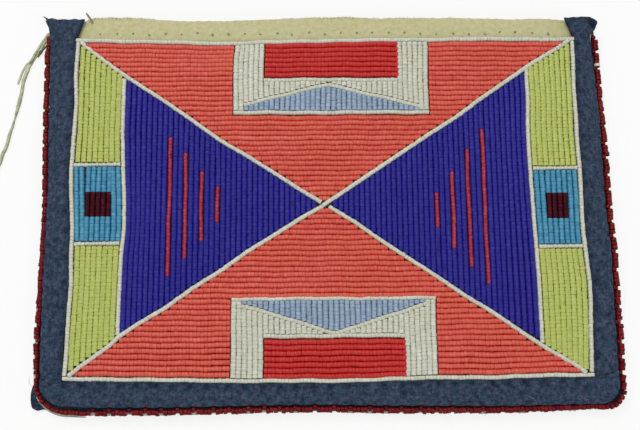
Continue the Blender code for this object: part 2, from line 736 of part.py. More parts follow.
def wedge(half_length, wide, narrow, past=0.0):
    """The slider's outline in X and Z: wide where the rows part, towards -X, and narrow behind."""
    ends = (-half_length - past, half_length + past)
    shoulder = half_length - GAP - SPREAD_LENGTH
    upper = [(ends[1], narrow), (shoulder, wide), (ends[0], wide)]
    return [(x, -z) for x, z in reversed(upper)] + upper


def build_slider():
    """The slider's origin is on the chain's middle line, where its travel is counted from."""
    carrier = bpy.data.objects.new("slider_travel", None)
    carrier.parent = MIDDLE
    carrier.location = (CLOSED_X, ZIP_Y, ZIP_Z)
    PURSE.objects.link(carrier)
    half, deep = SLIDER_LENGTH / 2, SLIDER_DEPTH / 2
    bm = zip_prism(wedge(half, SLIDER_WIDE / 2, SLIDER_NARROW / 2), -deep, deep)
    slider = add_object("zip_slider", mesh_from(bm, "zip_slider"), BRASS, carrier)
    room = TOOTH_DEPTH / 2 + GAP
    channel = wedge(half, SLIDER_WIDE / 2 - FLANGE, SLIDER_NARROW / 2 - FLANGE, GAP)
    slot = wedge(half, SLIDER_WIDE, SLIDER_WIDE, GAP)
    slot_room = TAPE / 2 + GAP
    for name, outline, reach in (("slider_channel", channel, room), ("slider_tape_slot", slot, slot_room)):
        cutter = add_cutter(name, zip_prism(outline, -reach, reach))
        cutter.parent = carrier
        add_boolean(slider, cutter)
    post = [(-half, -POST_WIDTH / 2), (-half + POST_LENGTH, 0), (-half, POST_WIDTH / 2)]
    joined = add_cutter("slider_post", zip_prism(post, -room - PLATE / 2, room + PLATE / 2))
    joined.parent = carrier
    add_boolean(slider, joined, "UNION")
    build_bail(slider, carrier)
    return carrier


def build_bail(slider, carrier):
    """The low arch on the slider's outer face, sunk into its plate, with a window for the pull."""
    face = SLIDER_DEPTH / 2
    half, wide = BAIL_LENGTH / 2, BAIL_WIDTH / 2
    block = box_between((-half, face - PLATE / 2, -wide), (half, face + BAIL_HEIGHT, wide))
    half_window, past = half - BAIL_WIRE, wide + GAP
    window = box_between((-half_window, face, -past), (half_window, face + BAIL_HEIGHT - BAIL_WIRE, past))
    for name, shape, operation in (("bail_block", block, "UNION"), ("bail_window", window, "DIFFERENCE")):
        cutter = add_cutter(name, shape)
        cutter.parent = carrier
        add_boolean(slider, cutter, operation)


def build_pull(carrier):
    """The pull's origin is on its hinge, the bar that passes under the bail."""
    hinge = bpy.data.objects.new("pull_hinge", None)
    hinge.parent = carrier
    hinge.location.y = SLIDER_DEPTH / 2 + GAP + PULL_WIRE / 2
    PURSE.objects.link(hinge)
    wire = PULL_WIRE / 2
    half_eye = BAIL_WIDTH / 2 + GAP
    half_wide = half_eye + PULL_WIRE
    eye_end = math.hypot(BAIL_LENGTH / 2, BAIL_HEIGHT - GAP) + GAP
    tip = PULL_TIP_WIDTH / 2
    rounded = [(-PULL_LENGTH + tip + x, z) for x, z in arc((0, 0), tip, 90, 270, 8)]
    outline = [(wire, -half_wide), (wire, half_wide), (-eye_end - PULL_WIRE, half_wide), *rounded]
    outline.append((-eye_end - PULL_WIRE, -half_wide))
    pull = add_object("zip_pull", mesh_from(zip_prism(outline, -wire, wire), "zip_pull"), BRASS, hinge)
    eye = [(-wire, -half_eye), (-wire, half_eye), (-eye_end, half_eye), (-eye_end, -half_eye)]
    hole = arc((-PULL_LENGTH + tip, 0), PULL_HOLE / 2, 0, 330, 11)
    for name, shape in (("pull_eye", eye), ("pull_hole", hole)):
        cutter = add_cutter(name, zip_prism(shape, -PULL_WIRE, PULL_WIRE))
        cutter.parent = hinge
        add_boolean(pull, cutter)


def build_stops():
    """A stop on each row at the closed end, and one across both rows at the other end."""
    front, outer = ZIP_Y - TOOTH_DEPTH / 2 - STOP_PROUD, ZIP_Y + TOOTH_DEPTH / 2 + STOP_PROUD
    near = CHAIN_HALF + GAP
    far = near + STOP_LENGTH
    inside, outside = CORD_INNER + SPREAD - STOP_LAP, CORD_OUTER + SPREAD
    shapes = {
        "zip_top_stop_front": box_between((-far, front, ZIP_Z + inside), (-near, outer, ZIP_Z + outside)),
        "zip_top_stop_back": box_between((-far, front, ZIP_Z - outside), (-near, outer, ZIP_Z - inside)),
        "zip_bottom_stop": box_between((near, front, ZIP_Z - CORD_OUTER), (far, outer, ZIP_Z + CORD_OUTER)),
    }
    for name, shape in shapes.items():
        add_object(name, mesh_from(shape, name), BRASS)


def build_thong():
    for name, route in (("thong_long_end", THONG_LONG), ("thong_short_end", THONG_SHORT)):
        strand = curve_object(name, route, THONG_DIAMETER / 2, 2, PALE_HIDE)
        strand.parent = None


def main():
    build_panels()
    build_wool_strips()
    build_edge_beading()
    reach_top, reach_bottom = PANEL_Y - MOTIF_DEPTH_TOP, PANEL_Y - MOTIF_DEPTH_BOTTOM
    bar_top, bar_bottom = PANEL_Y - BAR_DEPTH_TOP, PANEL_Y - BAR_DEPTH_BOTTOM
    build_coral_field("coral_field_top", 1, reach_top)
    build_coral_field("coral_field_bottom", -1, reach_bottom)
    build_cobalt_field("cobalt_field_left", -1)
    build_cobalt_field("cobalt_field_right", 1)
    build_accents()
    build_side_column("left", -1, BLOCK_LEFT, SQUARE_LEFT, SQUARE_WIDTH_LEFT)
    build_side_column("right", 1, BLOCK_RIGHT, SQUARE_RIGHT, SQUARE_WIDTH_RIGHT)
    build_motif("top", 1, reach_top, bar_top, PEAK_X_TOP, PEAK_HEIGHT_TOP)
    build_motif("bottom", -1, reach_bottom, bar_bottom, PEAK_X_BOTTOM, PEAK_HEIGHT_BOTTOM)
    build_white_rows()
    for label, side in (("front", 1), ("back", -1)):
        tooth_row(f"zip_teeth_{label}", side)
        build_tape(f"zip_tape_{label}", side)
    build_pull(build_slider())
    build_stops()
    build_thong()


main()
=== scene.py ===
"""Dresses the beaded zip purse: every seed bead, the wool and hide, the stitching, the zip and the thong."""

import logging
import math
import random
from dataclasses import dataclass, field
from enum import Enum
from typing import Any, Callable, Iterable, Sequence

import bpy
import numpy as np
from mathutils import Matrix, Vector, noise

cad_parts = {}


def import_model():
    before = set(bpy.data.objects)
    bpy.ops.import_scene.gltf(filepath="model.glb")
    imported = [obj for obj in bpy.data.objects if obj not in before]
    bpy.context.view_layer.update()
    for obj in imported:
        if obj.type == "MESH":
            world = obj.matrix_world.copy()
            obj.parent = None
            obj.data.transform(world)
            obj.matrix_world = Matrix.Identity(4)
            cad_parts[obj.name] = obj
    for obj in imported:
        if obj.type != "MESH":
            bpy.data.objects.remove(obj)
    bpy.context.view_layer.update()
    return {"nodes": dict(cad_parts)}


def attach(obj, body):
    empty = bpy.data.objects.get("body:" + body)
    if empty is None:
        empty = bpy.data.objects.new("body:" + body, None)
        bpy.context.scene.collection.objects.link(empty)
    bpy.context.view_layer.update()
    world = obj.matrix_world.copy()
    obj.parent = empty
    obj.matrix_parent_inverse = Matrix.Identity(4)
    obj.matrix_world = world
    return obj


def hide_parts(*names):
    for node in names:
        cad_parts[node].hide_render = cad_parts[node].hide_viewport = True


LOG = logging.getLogger("beaded_purse")
Point = tuple[float, float]
Colour = tuple[float, float, float]
Line = Sequence[Point]


def srgb(red: int, green: int, blue: int) -> Colour:
    """The linear colour of three 8-bit screen values.

    Args:
        red: The red value, 0 to 255.
        green: The green value, 0 to 255.
        blue: The blue value, 0 to 255.

    Returns:
        The linear red, green and blue.
    """
    parts = [value / 255 for value in (red, green, blue)]
    low, mid, high = (p / 12.92 if p <= 0.04045 else ((p + 0.055) / 1.055) ** 2.4 for p in parts)
    return low, mid, high


def smooth(value: np.ndarray | float) -> Any:
    """A smooth step from 0 to 1 over the same range.

    Args:
        value: One number or an array.

    Returns:
        The eased values, clipped to 0 and 1.
    """
    share = np.clip(value, 0.0, 1.0)
    return share * share * (3 - 2 * share)


def along(line: Line, at: np.ndarray | float) -> Any:
    """The second coordinate of a broken line, read at its first.

    Args:
        line: Points in rising order of their first coordinate.
        at: Where the line is read.

    Returns:
        The line's heights there.
    """
    return np.interp(at, [p[0] for p in line], [p[1] for p in line])


def reach_along(points: np.ndarray) -> np.ndarray:
    """How far along a line each of its points lies."""
    return np.r_[0, np.cumsum(np.linalg.norm(np.diff(points, axis=0), axis=1))]


@dataclass(frozen=True)
class PurseShape:
    """The purse's own sizes in metres, and the surface that its front panel follows."""

    seam_x: float = 0.1054
    seam_y: float = -0.07535
    lip_y: float = 0.07375
    middle_y: float = 0.002
    flat_half: float = 0.0782
    roll_power: float = 2.5
    mouth_rise: float = 0.009346
    mouth_flare: float = 0.0022
    edge_top: float = 0.0663
    wool: float = 0.0015
    hide: float = 0.0014
    gap: float = 0.0003
    bead: float = 0.0019
    eye: tuple[float, float, float] = (-0.008436, -0.096898, 0.369899)

    @property
    def bead_base(self) -> float:
        """The height at which the beads lie on the hide, at the seams."""
        return self.wool + self.hide + 2 * self.gap

    def lift(self, x: Any, y: Any) -> Any:
        """How far the front panel stands above its place at the seams.

        Args:
            x: Across the purse, in metres.
            y: From the middle of the bead panel towards the mouth.

        Returns:
            The rise, as numbers or an array.
        """
        out = np.clip((np.abs(x) - self.flat_half) / (self.seam_x - self.flat_half), 0, 1)
        up = np.clip((np.asarray(y) - self.seam_y) / (self.lip_y - self.seam_y), 0, 1)
        open_end = np.clip((np.asarray(y) - self.edge_top) / (self.lip_y - self.edge_top), 0, 1)
        return self.mouth_rise * (1 - out**self.roll_power) * up + self.mouth_flare * out**2 * open_end

    def place(self, x: Any, y: Any, height: float) -> np.ndarray:
        """World points over panel positions.

        Args:
            x: Across the purse.
            y: From the middle of the bead panel.
            height: The height at the seams.

        Returns:
            An array of points, one row each.
        """
        x, y = np.broadcast_arrays(np.asarray(x, float), np.asarray(y, float))
        return np.stack([x, y + self.middle_y, height + self.lift(x, y)], axis=-1)

    def drawn(self, u: Any, v: Any) -> tuple[np.ndarray, np.ndarray]:
        """Panel positions of a point of the drawing, on the flat plane through the panel's corners.

        The raised panel is met on the straight line from the eye through the drawing's point.

        Args:
            u: Across the drawing.
            v: Up the drawing.

        Returns:
            The panel's x and y there.
        """
        u, v = np.broadcast_arrays(np.asarray(u, float), np.asarray(v, float))
        flat = 0.0085 + 0.041 * v
        ex, ey, ez = self.eye
        ey -= self.middle_y
        x, y = u.copy(), v.copy()
        for _ in range(4):
            top = self.bead_base + self.bead + self.lift(x, y)
            share = (ez - top) / (ez - flat)
            x, y = ex + (u - ex) * share, ey + (v - ey) * share
        return x, y


SHAPE = PurseShape()


class Hands:
    """Blender's modelling tools, used as by hand."""

    @staticmethod
    def clear() -> None:
        """Leaves nothing selected, in object mode."""
        if bpy.context.mode != "OBJECT":
            bpy.ops.object.mode_set(mode="OBJECT")
        bpy.ops.object.select_all(action="DESELECT")

    @classmethod
    def take(cls, piece: bpy.types.Object) -> bpy.types.Object:
        """Makes one piece the only selected and active one.

        Args:
            piece: The object to work on.

        Returns:
            The same object.
        """
        cls.clear()
        piece.select_set(True)
        bpy.context.view_layer.objects.active = piece
        return piece

    @classmethod
    def grid(cls, name: str, columns: int, rows: int) -> bpy.types.Object:
        """A unit grid, whose points are moved to their places afterwards.

        Args:
            name: The new piece's name.
            columns: Faces across.
            rows: Faces along.

        Returns:
            The new object.
        """
        cls.clear()
        bpy.ops.mesh.primitive_grid_add(x_subdivisions=columns, y_subdivisions=rows, size=1)
        piece = bpy.context.active_object
        piece.name = name
        return piece

    @staticmethod
    def points(piece: bpy.types.Object) -> np.ndarray:
        """The points of a mesh as an array, one row each."""
        flat = np.empty(len(piece.data.vertices) * 3)
        piece.data.vertices.foreach_get("co", flat)
        return flat.reshape(-1, 3)

    @staticmethod
    def move(piece: bpy.types.Object, points: np.ndarray) -> None:
        """Writes the points of a mesh back."""
        piece.data.vertices.foreach_set("co", np.asarray(points, float).ravel())
        piece.data.update()

    @classmethod
    def finish(cls, piece: bpy.types.Object, *modifiers: tuple[str, dict[str, Any]]) -> bpy.types.Object:
        """Adds modifiers, applies them and turns the normals out.

        Args:
            piece: The object to finish.
            modifiers: Pairs of a modifier's type and its settings.

        Returns:
            The same object, shaded smooth.
        """
        cls.take(piece)
        for kind, settings in modifiers:
            added = piece.modifiers.new(kind.lower(), kind)
            for name, value in settings.items():
                setattr(added, name, value)
            bpy.ops.object.modifier_apply(modifier=added.name)
        cls.edit(piece, (bpy.ops.mesh.normals_make_consistent, {"inside": False}))
        bpy.ops.object.shade_smooth_by_angle(angle=math.radians(50))
        cls.clear()
        return piece

    @staticmethod
    def paint_shade(piece: bpy.types.Object, amounts: np.ndarray) -> bpy.types.Object:
        """Writes how much painted shade darkens each point of a mesh, from 0 to 1."""
        painted_shade = piece.data.attributes.new("painted_shade", "FLOAT", "POINT")
        painted_shade.data.foreach_set("value", np.clip(amounts, 0, 1).astype(np.float32))
        return piece

    @classmethod
    def edit(cls, piece: bpy.types.Object, *steps: tuple[Callable, dict[str, Any]]) -> bpy.types.Object:
        """Uses tools on all of a mesh, one after the other.

        Args:
            piece: The object to work on.
            steps: Pairs of a tool and its settings.

        Returns:
            The same object.
        """
        cls.take(piece)
        bpy.ops.object.mode_set(mode="EDIT")
        for tool, settings in steps:
            bpy.ops.mesh.select_all(action="SELECT")
            tool(**settings)
        bpy.ops.object.mode_set(mode="OBJECT")
        return piece

    @staticmethod
    def link(name: str, data: Any) -> bpy.types.Object:
        """Puts new data into the scene, as an object of its own."""
        piece = bpy.data.objects.new(name, data)
        bpy.context.scene.collection.objects.link(piece)
        return piece

    @classmethod
    def mesh(cls, name: str, points: np.ndarray, faces: np.ndarray) -> bpy.types.Object:
        """A new mesh from arrays of points and faces."""
        mesh = bpy.data.meshes.new(name)
        mesh.from_pydata(points.tolist(), [], faces.tolist())
        return cls.link(name, mesh)

    @staticmethod
    def repeated(faces: np.ndarray, count: int, each: int) -> np.ndarray:
        """The faces of a number of copies of a mesh, with that many points each."""
        return (faces[None] + (np.arange(count) * each)[:, None, None]).reshape(-1, faces.shape[1])


class Shade:
    """A value in a material, on which plain sums can be written."""

    def __init__(self, graph: "Graph", socket: bpy.types.NodeSocket) -> None:
        """Wraps one output socket of a graph."""
        self.graph = graph
        self.socket = socket

    def _sum(self, operation: str, first: Any, second: Any) -> "Shade":
        """Adds one Math node with these two values."""
        return self.graph.node("ShaderNodeMath", {"operation": operation}, {0: first, 1: second})

    def __add__(self, other: Any) -> "Shade":
        """The sum."""
        return self._sum("ADD", self, other)

    def __rsub__(self, other: Any) -> "Shade":
        """The difference from a number."""
        return self._sum("SUBTRACT", other, self)

    def __mul__(self, other: Any) -> "Shade":
        """The product."""
        return self._sum("MULTIPLY", self, other)

    __radd__ = __add__
    __rmul__ = __mul__


class Graph:
    """A material's nodes, laid by short calls."""

    def __init__(self, name: str) -> None:
        """Starts a material with an empty Principled shader."""
        self.material = bpy.data.materials.new(name)
        self.material.use_nodes = True
        self.tree = self.material.node_tree
        self.shader = self.tree.nodes["Principled BSDF"]

    def node(self, kind: str, settings: dict[str, Any], values: dict[Any, Any], out: Any = 0) -> Shade:
        """Adds one node.

        Args:
            kind: The node's type.
            settings: Its own settings, made before its sockets are used.
            values: Numbers, colours or links for its sockets, by name or index.
            out: The output that is wrapped.

        Returns:
            That output.
        """
        made = self.tree.nodes.new(kind)
        for name, value in settings.items():
            if name == "stops":
                self._ramp(made, value)
            else:
                setattr(made, name, value)
        for key, value in values.items():
            self.feed(made.inputs[key], value)
        return Shade(self, made.outputs[out])

    @staticmethod
    def _ramp(made: bpy.types.Node, stops: Sequence[tuple[float, Colour]]) -> None:
        """Sets a ramp's stops, each a place and a colour."""
        ramp = made.color_ramp
        while len(ramp.elements) < len(stops):
            ramp.elements.new(0.5)
        for element, (place, colour) in zip(ramp.elements, stops):
            element.position = place
            element.color = (*colour, 1)

    def feed(self, socket: bpy.types.NodeSocket, value: Any) -> None:
        """Links a value to a socket, or sets it there."""
        if isinstance(value, Shade):
            self.tree.links.new(value.socket, socket)
        elif isinstance(value, tuple) and len(value) == 3 and socket.type == "RGBA":
            socket.default_value = (*value, 1)
        else:
            socket.default_value = value

    def mix(self, share: Any, low: Any, high: Any) -> Shade:
        """A colour between two, by a share from 0 to 1."""
        made = self.tree.nodes.new("ShaderNodeMix")
        made.data_type = "RGBA"
        for index, value in ((0, share), (6, low), (7, high)):
            self.feed(made.inputs[index], value)
        return Shade(self, made.outputs[2])

    def place(self, stretch: tuple[float, float, float] = (1, 1, 1), turn: float = 0.0) -> Shade:
        """Object coordinates, stretched along each axis and turned about Z."""
        spot = self.node("ShaderNodeTexCoord", {}, {}, "Object")
        return self.node("ShaderNodeMapping", {}, {"Vector": spot, "Scale": stretch, "Rotation": (0, 0, turn)})

    def noise(self, spot: Shade, scale: float, detail: float = 3.0, rough: float = 0.5) -> Shade:
        """A noise at a scale in repeats a metre."""
        values = {"Vector": spot, "Scale": scale, "Detail": detail, "Roughness": rough}
        return self.node("ShaderNodeTexNoise", {}, values)

    def spread(self, value: Shade, low: float, high: float) -> Shade:
        """A value's range from low to high, stretched to 0 to 1 and clipped."""
        return self.node("ShaderNodeMapRange", {"clamp": True}, {0: value, 1: low, 2: high, 3: 0.0, 4: 1.0})

    def painted_shade(self) -> Shade:
        """How much painted shade darkens each place of a piece, from its own attribute."""
        return self.node("ShaderNodeAttribute", {"attribute_name": "painted_shade"}, {}, "Fac")

    def bump(self, height: Shade, depth: float, strength: float = 1.0) -> Shade:
        """A bump from a height, as deep as given in metres."""
        return self.node("ShaderNodeBump", {}, {"Strength": strength, "Distance": depth, "Height": height})

    def dress(self, values: dict[str, Any]) -> bpy.types.Material:
        """Feeds the shader's sockets and returns the material."""
        for name, value in values.items():
            self.feed(self.shader.inputs[name], value)
        return self.material


@dataclass(frozen=True)
class BeadGlass:
    """Glass seed beads of one colour, each a little lighter or darker than the next."""

    name: str
    deep: Colour
    mid: Colour
    pale: Colour
    warm: Colour
    shine: float = 0.3
    # groove scales the painted light in the grooves between rows.
    groove: float = 1.1
    gloss: float = 0.36
    coat: float = 0.06

    def material(self) -> bpy.types.Material:
        """Builds the finish from each bead's own tone, with painted light and shade by the crest.

        Returns:
            The new material.
        """
        graph = Graph(self.name)
        tone = graph.node("ShaderNodeAttribute", {"attribute_name": "tone"}, {}, "Fac")
        stops = ((0.0, self.deep), (0.45, self.mid), (1.0, self.pale))
        colour = graph.node("ShaderNodeValToRGB", {"stops": stops}, {"Fac": tone})
        patches = graph.spread(graph.noise(graph.place(), 80, 3), 0.42, 0.7)
        tinted = graph.mix(patches * 0.55, colour, self.warm)
        # Painted light and shade by the crest: the bead's lower part takes a brighter, richer colour as painted light
        # bounced through the glass in the grooves, and its underside and ends a dark colour as painted shade.
        crest = graph.node("ShaderNodeAttribute", {"attribute_name": "crest"}, {}, "Fac")
        painted_groove_light = tuple(part * self.groove * (part / max(self.mid)) ** 0.5 for part in self.mid)
        tinted = graph.mix(graph.spread(crest, 0.68, 1.0), painted_groove_light, tinted)
        tinted = graph.mix(graph.spread(crest, 0.2, 0.5), tuple(part * 0.4 for part in self.deep), tinted)
        pits = graph.noise(graph.place(), 2600, 2)
        values = {
            "Base Color": tinted,
            "Roughness": tone * 0.16 + self.gloss,
            "Coat Weight": self.coat,
            "Coat Roughness": 0.12,
            "Specular IOR Level": self.shine,
            "Normal": graph.bump(pits, 0.00004, 0.5),
        }
        return graph.dress(values)


@dataclass(frozen=True)
class WoolCloth:
    """Napped wool, heathered with lighter and darker fibres, and darkened by painted shade where its pieces say."""

    name: str
    deep: Colour
    mid: Colour
    pale: Colour
    violet: Colour
    teal: Colour

    def material(self) -> bpy.types.Material:
        """Builds the cloth's colour, nap and weave.

        Returns:
            The new material.
        """
        graph = Graph(self.name)
        patches = graph.noise(graph.place(), 560, 4, 0.7)
        stops = ((0.36, self.deep), (0.51, self.mid), (0.7, self.pale))
        colour = graph.node("ShaderNodeValToRGB", {"stops": stops}, {"Fac": patches})
        heather = graph.noise(graph.place(), 560, 3, 0.6)
        colour = graph.mix(graph.spread(heather, 0.5, 0.64) * 0.45, colour, self.violet)
        other = graph.noise(graph.place((1, 1, 1), 1.1), 480, 3, 0.6)
        colour = graph.mix(graph.spread(other, 0.52, 0.66) * 0.6, colour, self.teal)
        fibres = graph.noise(graph.place((1, 0.35, 1), 0.5), 1700, 3, 0.7)
        crossing = graph.noise(graph.place((0.35, 1, 1), -0.35), 1500, 3, 0.7)
        nap = fibres * 0.5 + crossing * 0.5
        colour = graph.mix(graph.spread(nap, 0.5, 0.66) * 0.55, colour, self.pale)
        colour = graph.mix(graph.spread(1 - nap, 0.5, 0.66) * 0.7, colour, self.deep)
        # Painted shade: the cloth goes towards a deep navy where its attribute says.
        colour = graph.mix(graph.painted_shade() * 0.8, colour, tuple(part * 0.35 for part in self.deep))
        values = {
            "Base Color": colour,
            "Roughness": 0.95,
            "Specular IOR Level": 0.15,
            "Sheen Weight": 0.12,
            "Sheen Roughness": 0.6,
            "Sheen Tint": (*self.pale, 1),
            "Normal": graph.bump(nap + patches * 0.6, 0.0005, 0.8),
        }
        return graph.dress(values)


@dataclass(frozen=True)
class Suede:
    """Soft hide with a short nap, small marks, uneven colour and painted shade."""

    name: str
    deep: Colour
    mid: Colour
    pale: Colour
    painted_shade_colour: Colour
    grain: float = 1500

    def material(self) -> bpy.types.Material:
        """Builds the hide's colour and grain.

        Returns:
            The new material.
        """
        graph = Graph(self.name)
        clouds = graph.noise(graph.place((1, 1.2, 1)), 480, 5, 0.7)
        stops = ((0.34, self.deep), (0.5, self.mid), (0.66, self.pale))
        colour = graph.node("ShaderNodeValToRGB", {"stops": stops}, {"Fac": clouds})
        grain = graph.noise(graph.place(), self.grain, 4, 0.65)
        marks = graph.spread(graph.noise(graph.place(), 520, 2, 0.4), 0.66, 0.78)
        colour = graph.mix(marks * 0.35, colour, self.deep)
        colour = graph.mix(graph.spread(grain, 0.35, 0.7) * 0.3, colour, self.pale)
        # Painted shade: the colour goes to the last colour where the piece's attribute says.
        colour = graph.mix(graph.painted_shade(), colour, self.painted_shade_colour)
        values = {
            "Base Color": colour,
            "Roughness": graph.spread(grain, 0.2, 0.8) * 0.1 + 0.85,
            "Specular IOR Level": 0.2,
            "Normal": graph.bump(grain + clouds * 0.8, 0.0002, 0.8),
        }
        return graph.dress(values)


@dataclass(frozen=True)
class Brass:
    """Zip metal, dulled and darker in patches."""

    name: str
    bright: Colour
    dull: Colour

    def material(self) -> bpy.types.Material:
        """Builds the metal's patina and fine scratches.

        Returns:
            The new material.
        """
        graph = Graph(self.name)
        patina = graph.spread(graph.noise(graph.place(), 700, 4, 0.6), 0.4, 0.66)
        scratches = graph.noise(graph.place((1, 1, 0.1), 0.3), 5200, 2, 0.5)
        values = {
            "Base Color": graph.mix(patina * 0.7, self.bright, self.dull),
            "Metallic": 1.0,
            "Roughness": patina * 0.22 + scratches * 0.12 + 0.24,
            "Normal": graph.bump(scratches + patina * 0.5, 0.00004, 0.4),
        }
        return graph.dress(values)


@dataclass(frozen=True)
class Twill:
    """A tightly woven tape or spun thread."""

    name: str
    deep: Colour
    pale: Colour
    pitch: float = 0.0005

    def material(self) -> bpy.types.Material:
        """Builds slanted ribs across the weave.

        Returns:
            The new material.
        """
        graph = Graph(self.name)
        settings = {"wave_type": "BANDS", "bands_direction": "DIAGONAL", "wave_profile": "SIN"}
        values = {"Vector": graph.place(), "Scale": 0.31 / self.pitch, "Distortion": 0.6, "Detail": 2.0}
        ribs = graph.node("ShaderNodeTexWave", settings, values, "Fac")
        lint = graph.noise(graph.place(), 1800, 3)
        share = ribs * 0.6 + lint * 0.5
        values = {
            "Base Color": graph.mix(share, self.deep, self.pale),
            "Roughness": 0.9,
            "Specular IOR Level": 0.2,
            "Normal": graph.bump(share, 0.00015, 0.7),
        }
        return graph.dress(values)


class Finish(Enum):
    """Every finish on the purse, each named as its material."""

    CORAL = "coral_beads"
    COBALT = "cobalt_beads"
    LIME = "yellow_green_beads"
    TURQUOISE = "turquoise_beads"
    PALE_BLUE = "pale_blue_beads"
    WHITE = "white_beads"
    RED = "red_beads"
    GARNET = "garnet_beads"
    CRIMSON = "crimson_beads"
    EDGE = "edge_beads"
    WOOL = "navy_wool"
    HIDE = "cream_hide"
    THONG = "pale_thong"
    BRASS = "zip_brass"
    TAPE = "zip_tape"
    THREAD = "sewing_thread"
    SINEW = "sinew_thread"
    LINT = "grey_lint"


class Paintbox:
    """Makes each finish once."""

    def __init__(self) -> None:
        """Names the colours of every finish."""
        glass = {
            Finish.CORAL: (srgb(175, 64, 54), srgb(199, 89, 76), srgb(216, 118, 100), srgb(198, 92, 60), 0.3, 1.2),
            Finish.COBALT: (srgb(27, 22, 88), srgb(41, 37, 115), srgb(58, 54, 140), srgb(33, 27, 111), 0.16, 2.0),
            Finish.LIME: (srgb(150, 154, 88), srgb(169, 176, 106), srgb(184, 189, 125), srgb(173, 172, 95), 0.3, 1.5),
            Finish.TURQUOISE: (srgb(41, 101, 132), srgb(71, 137, 165), srgb(106, 168, 190), srgb(74, 139, 157)),
            Finish.PALE_BLUE: (srgb(114, 134, 156), srgb(140, 157, 176), srgb(168, 183, 198), srgb(152, 165, 174)),
            Finish.WHITE: (srgb(174, 175, 160), srgb(197, 198, 185), srgb(220, 220, 208), srgb(196, 192, 172)),
            Finish.RED: (srgb(147, 26, 30), srgb(172, 39, 38), srgb(190, 63, 53), srgb(176, 47, 33), 0.3, 1.5),
            Finish.GARNET: (srgb(24, 2, 11), srgb(54, 9, 24), srgb(85, 19, 37), srgb(49, 8, 17), 0.05),
            Finish.CRIMSON: (srgb(126, 28, 62), srgb(162, 46, 78), srgb(192, 84, 106), srgb(162, 38, 62), 0.2, 0.45),
            Finish.EDGE: (srgb(54, 0, 16), srgb(98, 12, 22), srgb(130, 26, 28), srgb(116, 36, 22), 0.08),
        }
        self.recipes: dict[Finish, Any] = {
            finish: BeadGlass(finish.value, *colours) for finish, colours in glass.items()
        }
        self.recipes[Finish.WOOL] = WoolCloth(
            "navy_wool", srgb(26, 36, 54), srgb(46, 60, 80), srgb(84, 98, 116), srgb(62, 56, 92), srgb(40, 72, 84)
        )
        # The last colour of each hide is the colour of its painted shade.
        self.recipes[Finish.HIDE] = Suede(
            "cream_hide", srgb(176, 174, 120), srgb(189, 185, 141), srgb(199, 192, 156), srgb(104, 72, 50)
        )
        self.recipes[Finish.THONG] = Suede(
            "pale_thong", srgb(136, 138, 106), srgb(178, 180, 146), srgb(206, 208, 182), srgb(58, 54, 40)
        )
        self.recipes[Finish.BRASS] = Brass("zip_brass", srgb(212, 176, 106), srgb(132, 100, 52))
        self.recipes[Finish.TAPE] = Twill("zip_tape", srgb(26, 28, 36), srgb(62, 66, 78))
        self.recipes[Finish.THREAD] = Twill("sewing_thread", srgb(160, 148, 136), srgb(214, 204, 192), 0.0003)
        self.recipes[Finish.SINEW] = Twill("sinew_thread", srgb(108, 102, 76), srgb(148, 142, 112), 0.0003)
        self.recipes[Finish.LINT] = Twill("grey_lint", srgb(104, 110, 120), srgb(156, 162, 168), 0.0002)
        self.made: dict[Finish, bpy.types.Material] = {}

    def of(self, finish: Finish) -> bpy.types.Material:
        """The material of a finish, made when it is first asked for."""
        if finish not in self.made:
            self.made[finish] = self.recipes[finish].material()
        return self.made[finish]


PAINTS = Paintbox()


def fit(
    piece: bpy.types.Object, finish: Finish, nodes: Iterable[str] = (), body: str = "purse"
) -> bpy.types.Object:
    """Dresses a piece, lets it ride on its body and stand for its solids.

    Args:
        piece: The finished object.
        finish: Its material.
        nodes: The solids that it replaces.
        body: The body that it moves with.

    Returns:
        The same object.
    """
    piece.data.materials.clear()
    piece.data.materials.append(PAINTS.of(finish))
    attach(piece, body)
    names = list(nodes)
    if names:
        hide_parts(*names)
    finish not in (Finish.THREAD, Finish.SINEW, Finish.LINT)
    faces = sum(len(face.vertices) - 2 for face in piece.data.polygons) if piece.type == "MESH" else 0
    LOG.info("%s: %d triangles", piece.name, faces)
    return piece


@dataclass
class SeedBead:
    """One seed bead, a fat glass ring with its hole along X, of unit diameter."""

    sides: int = 8
    length: float = 0.69
    flat: float = 0.72
    shoulder: float = 0.472
    hole: float = 0.3
    joint_shade: float = 0.8
    points: np.ndarray = field(default_factory=lambda: np.zeros((0, 3)))
    faces: np.ndarray = field(default_factory=lambda: np.zeros((0, 4), int))
    crests: np.ndarray = field(default_factory=lambda: np.zeros(0))

    def __post_init__(self) -> None:
        """Spins five points round the hole and keeps the ring as arrays."""
        Hands.clear()
        bpy.ops.mesh.primitive_circle_add(vertices=5, radius=1, location=(0, 0, 0))
        ring = bpy.context.active_object
        places = Hands.points(ring)
        places[:, 0] = [self.length / 2 * share for share in (-1, -self.flat, self.flat, 1, 0)]
        places[:, 1] = 0
        places[:, 2] = [self.shoulder, 0.5, 0.5, self.shoulder, self.hole / 2]
        Hands.move(ring, places)
        turn = {"steps": self.sides, "angle": math.tau, "center": (0, 0, 0), "axis": (1, 0, 0)}
        Hands.edit(
            ring,
            (bpy.ops.mesh.spin, turn),
            (bpy.ops.mesh.remove_doubles, {"threshold": 0.001}),
            (bpy.ops.mesh.normals_make_consistent, {"inside": False}),
        )
        self.points = Hands.points(ring)
        self.faces = np.array([tuple(face.vertices) for face in ring.data.polygons])
        # Crests run from 1 on top of the bead to 0 beneath it and drop at its ends; the finish paints light and shade
        # by them.
        up = self.points[:, 2] / np.linalg.norm(self.points[:, 1:], axis=1)
        at_end = np.abs(self.points[:, 0]) > self.length * 0.49
        self.crests = 0.5 + 0.5 * up - self.joint_shade * at_end * (1 - up)
        bpy.data.objects.remove(ring)


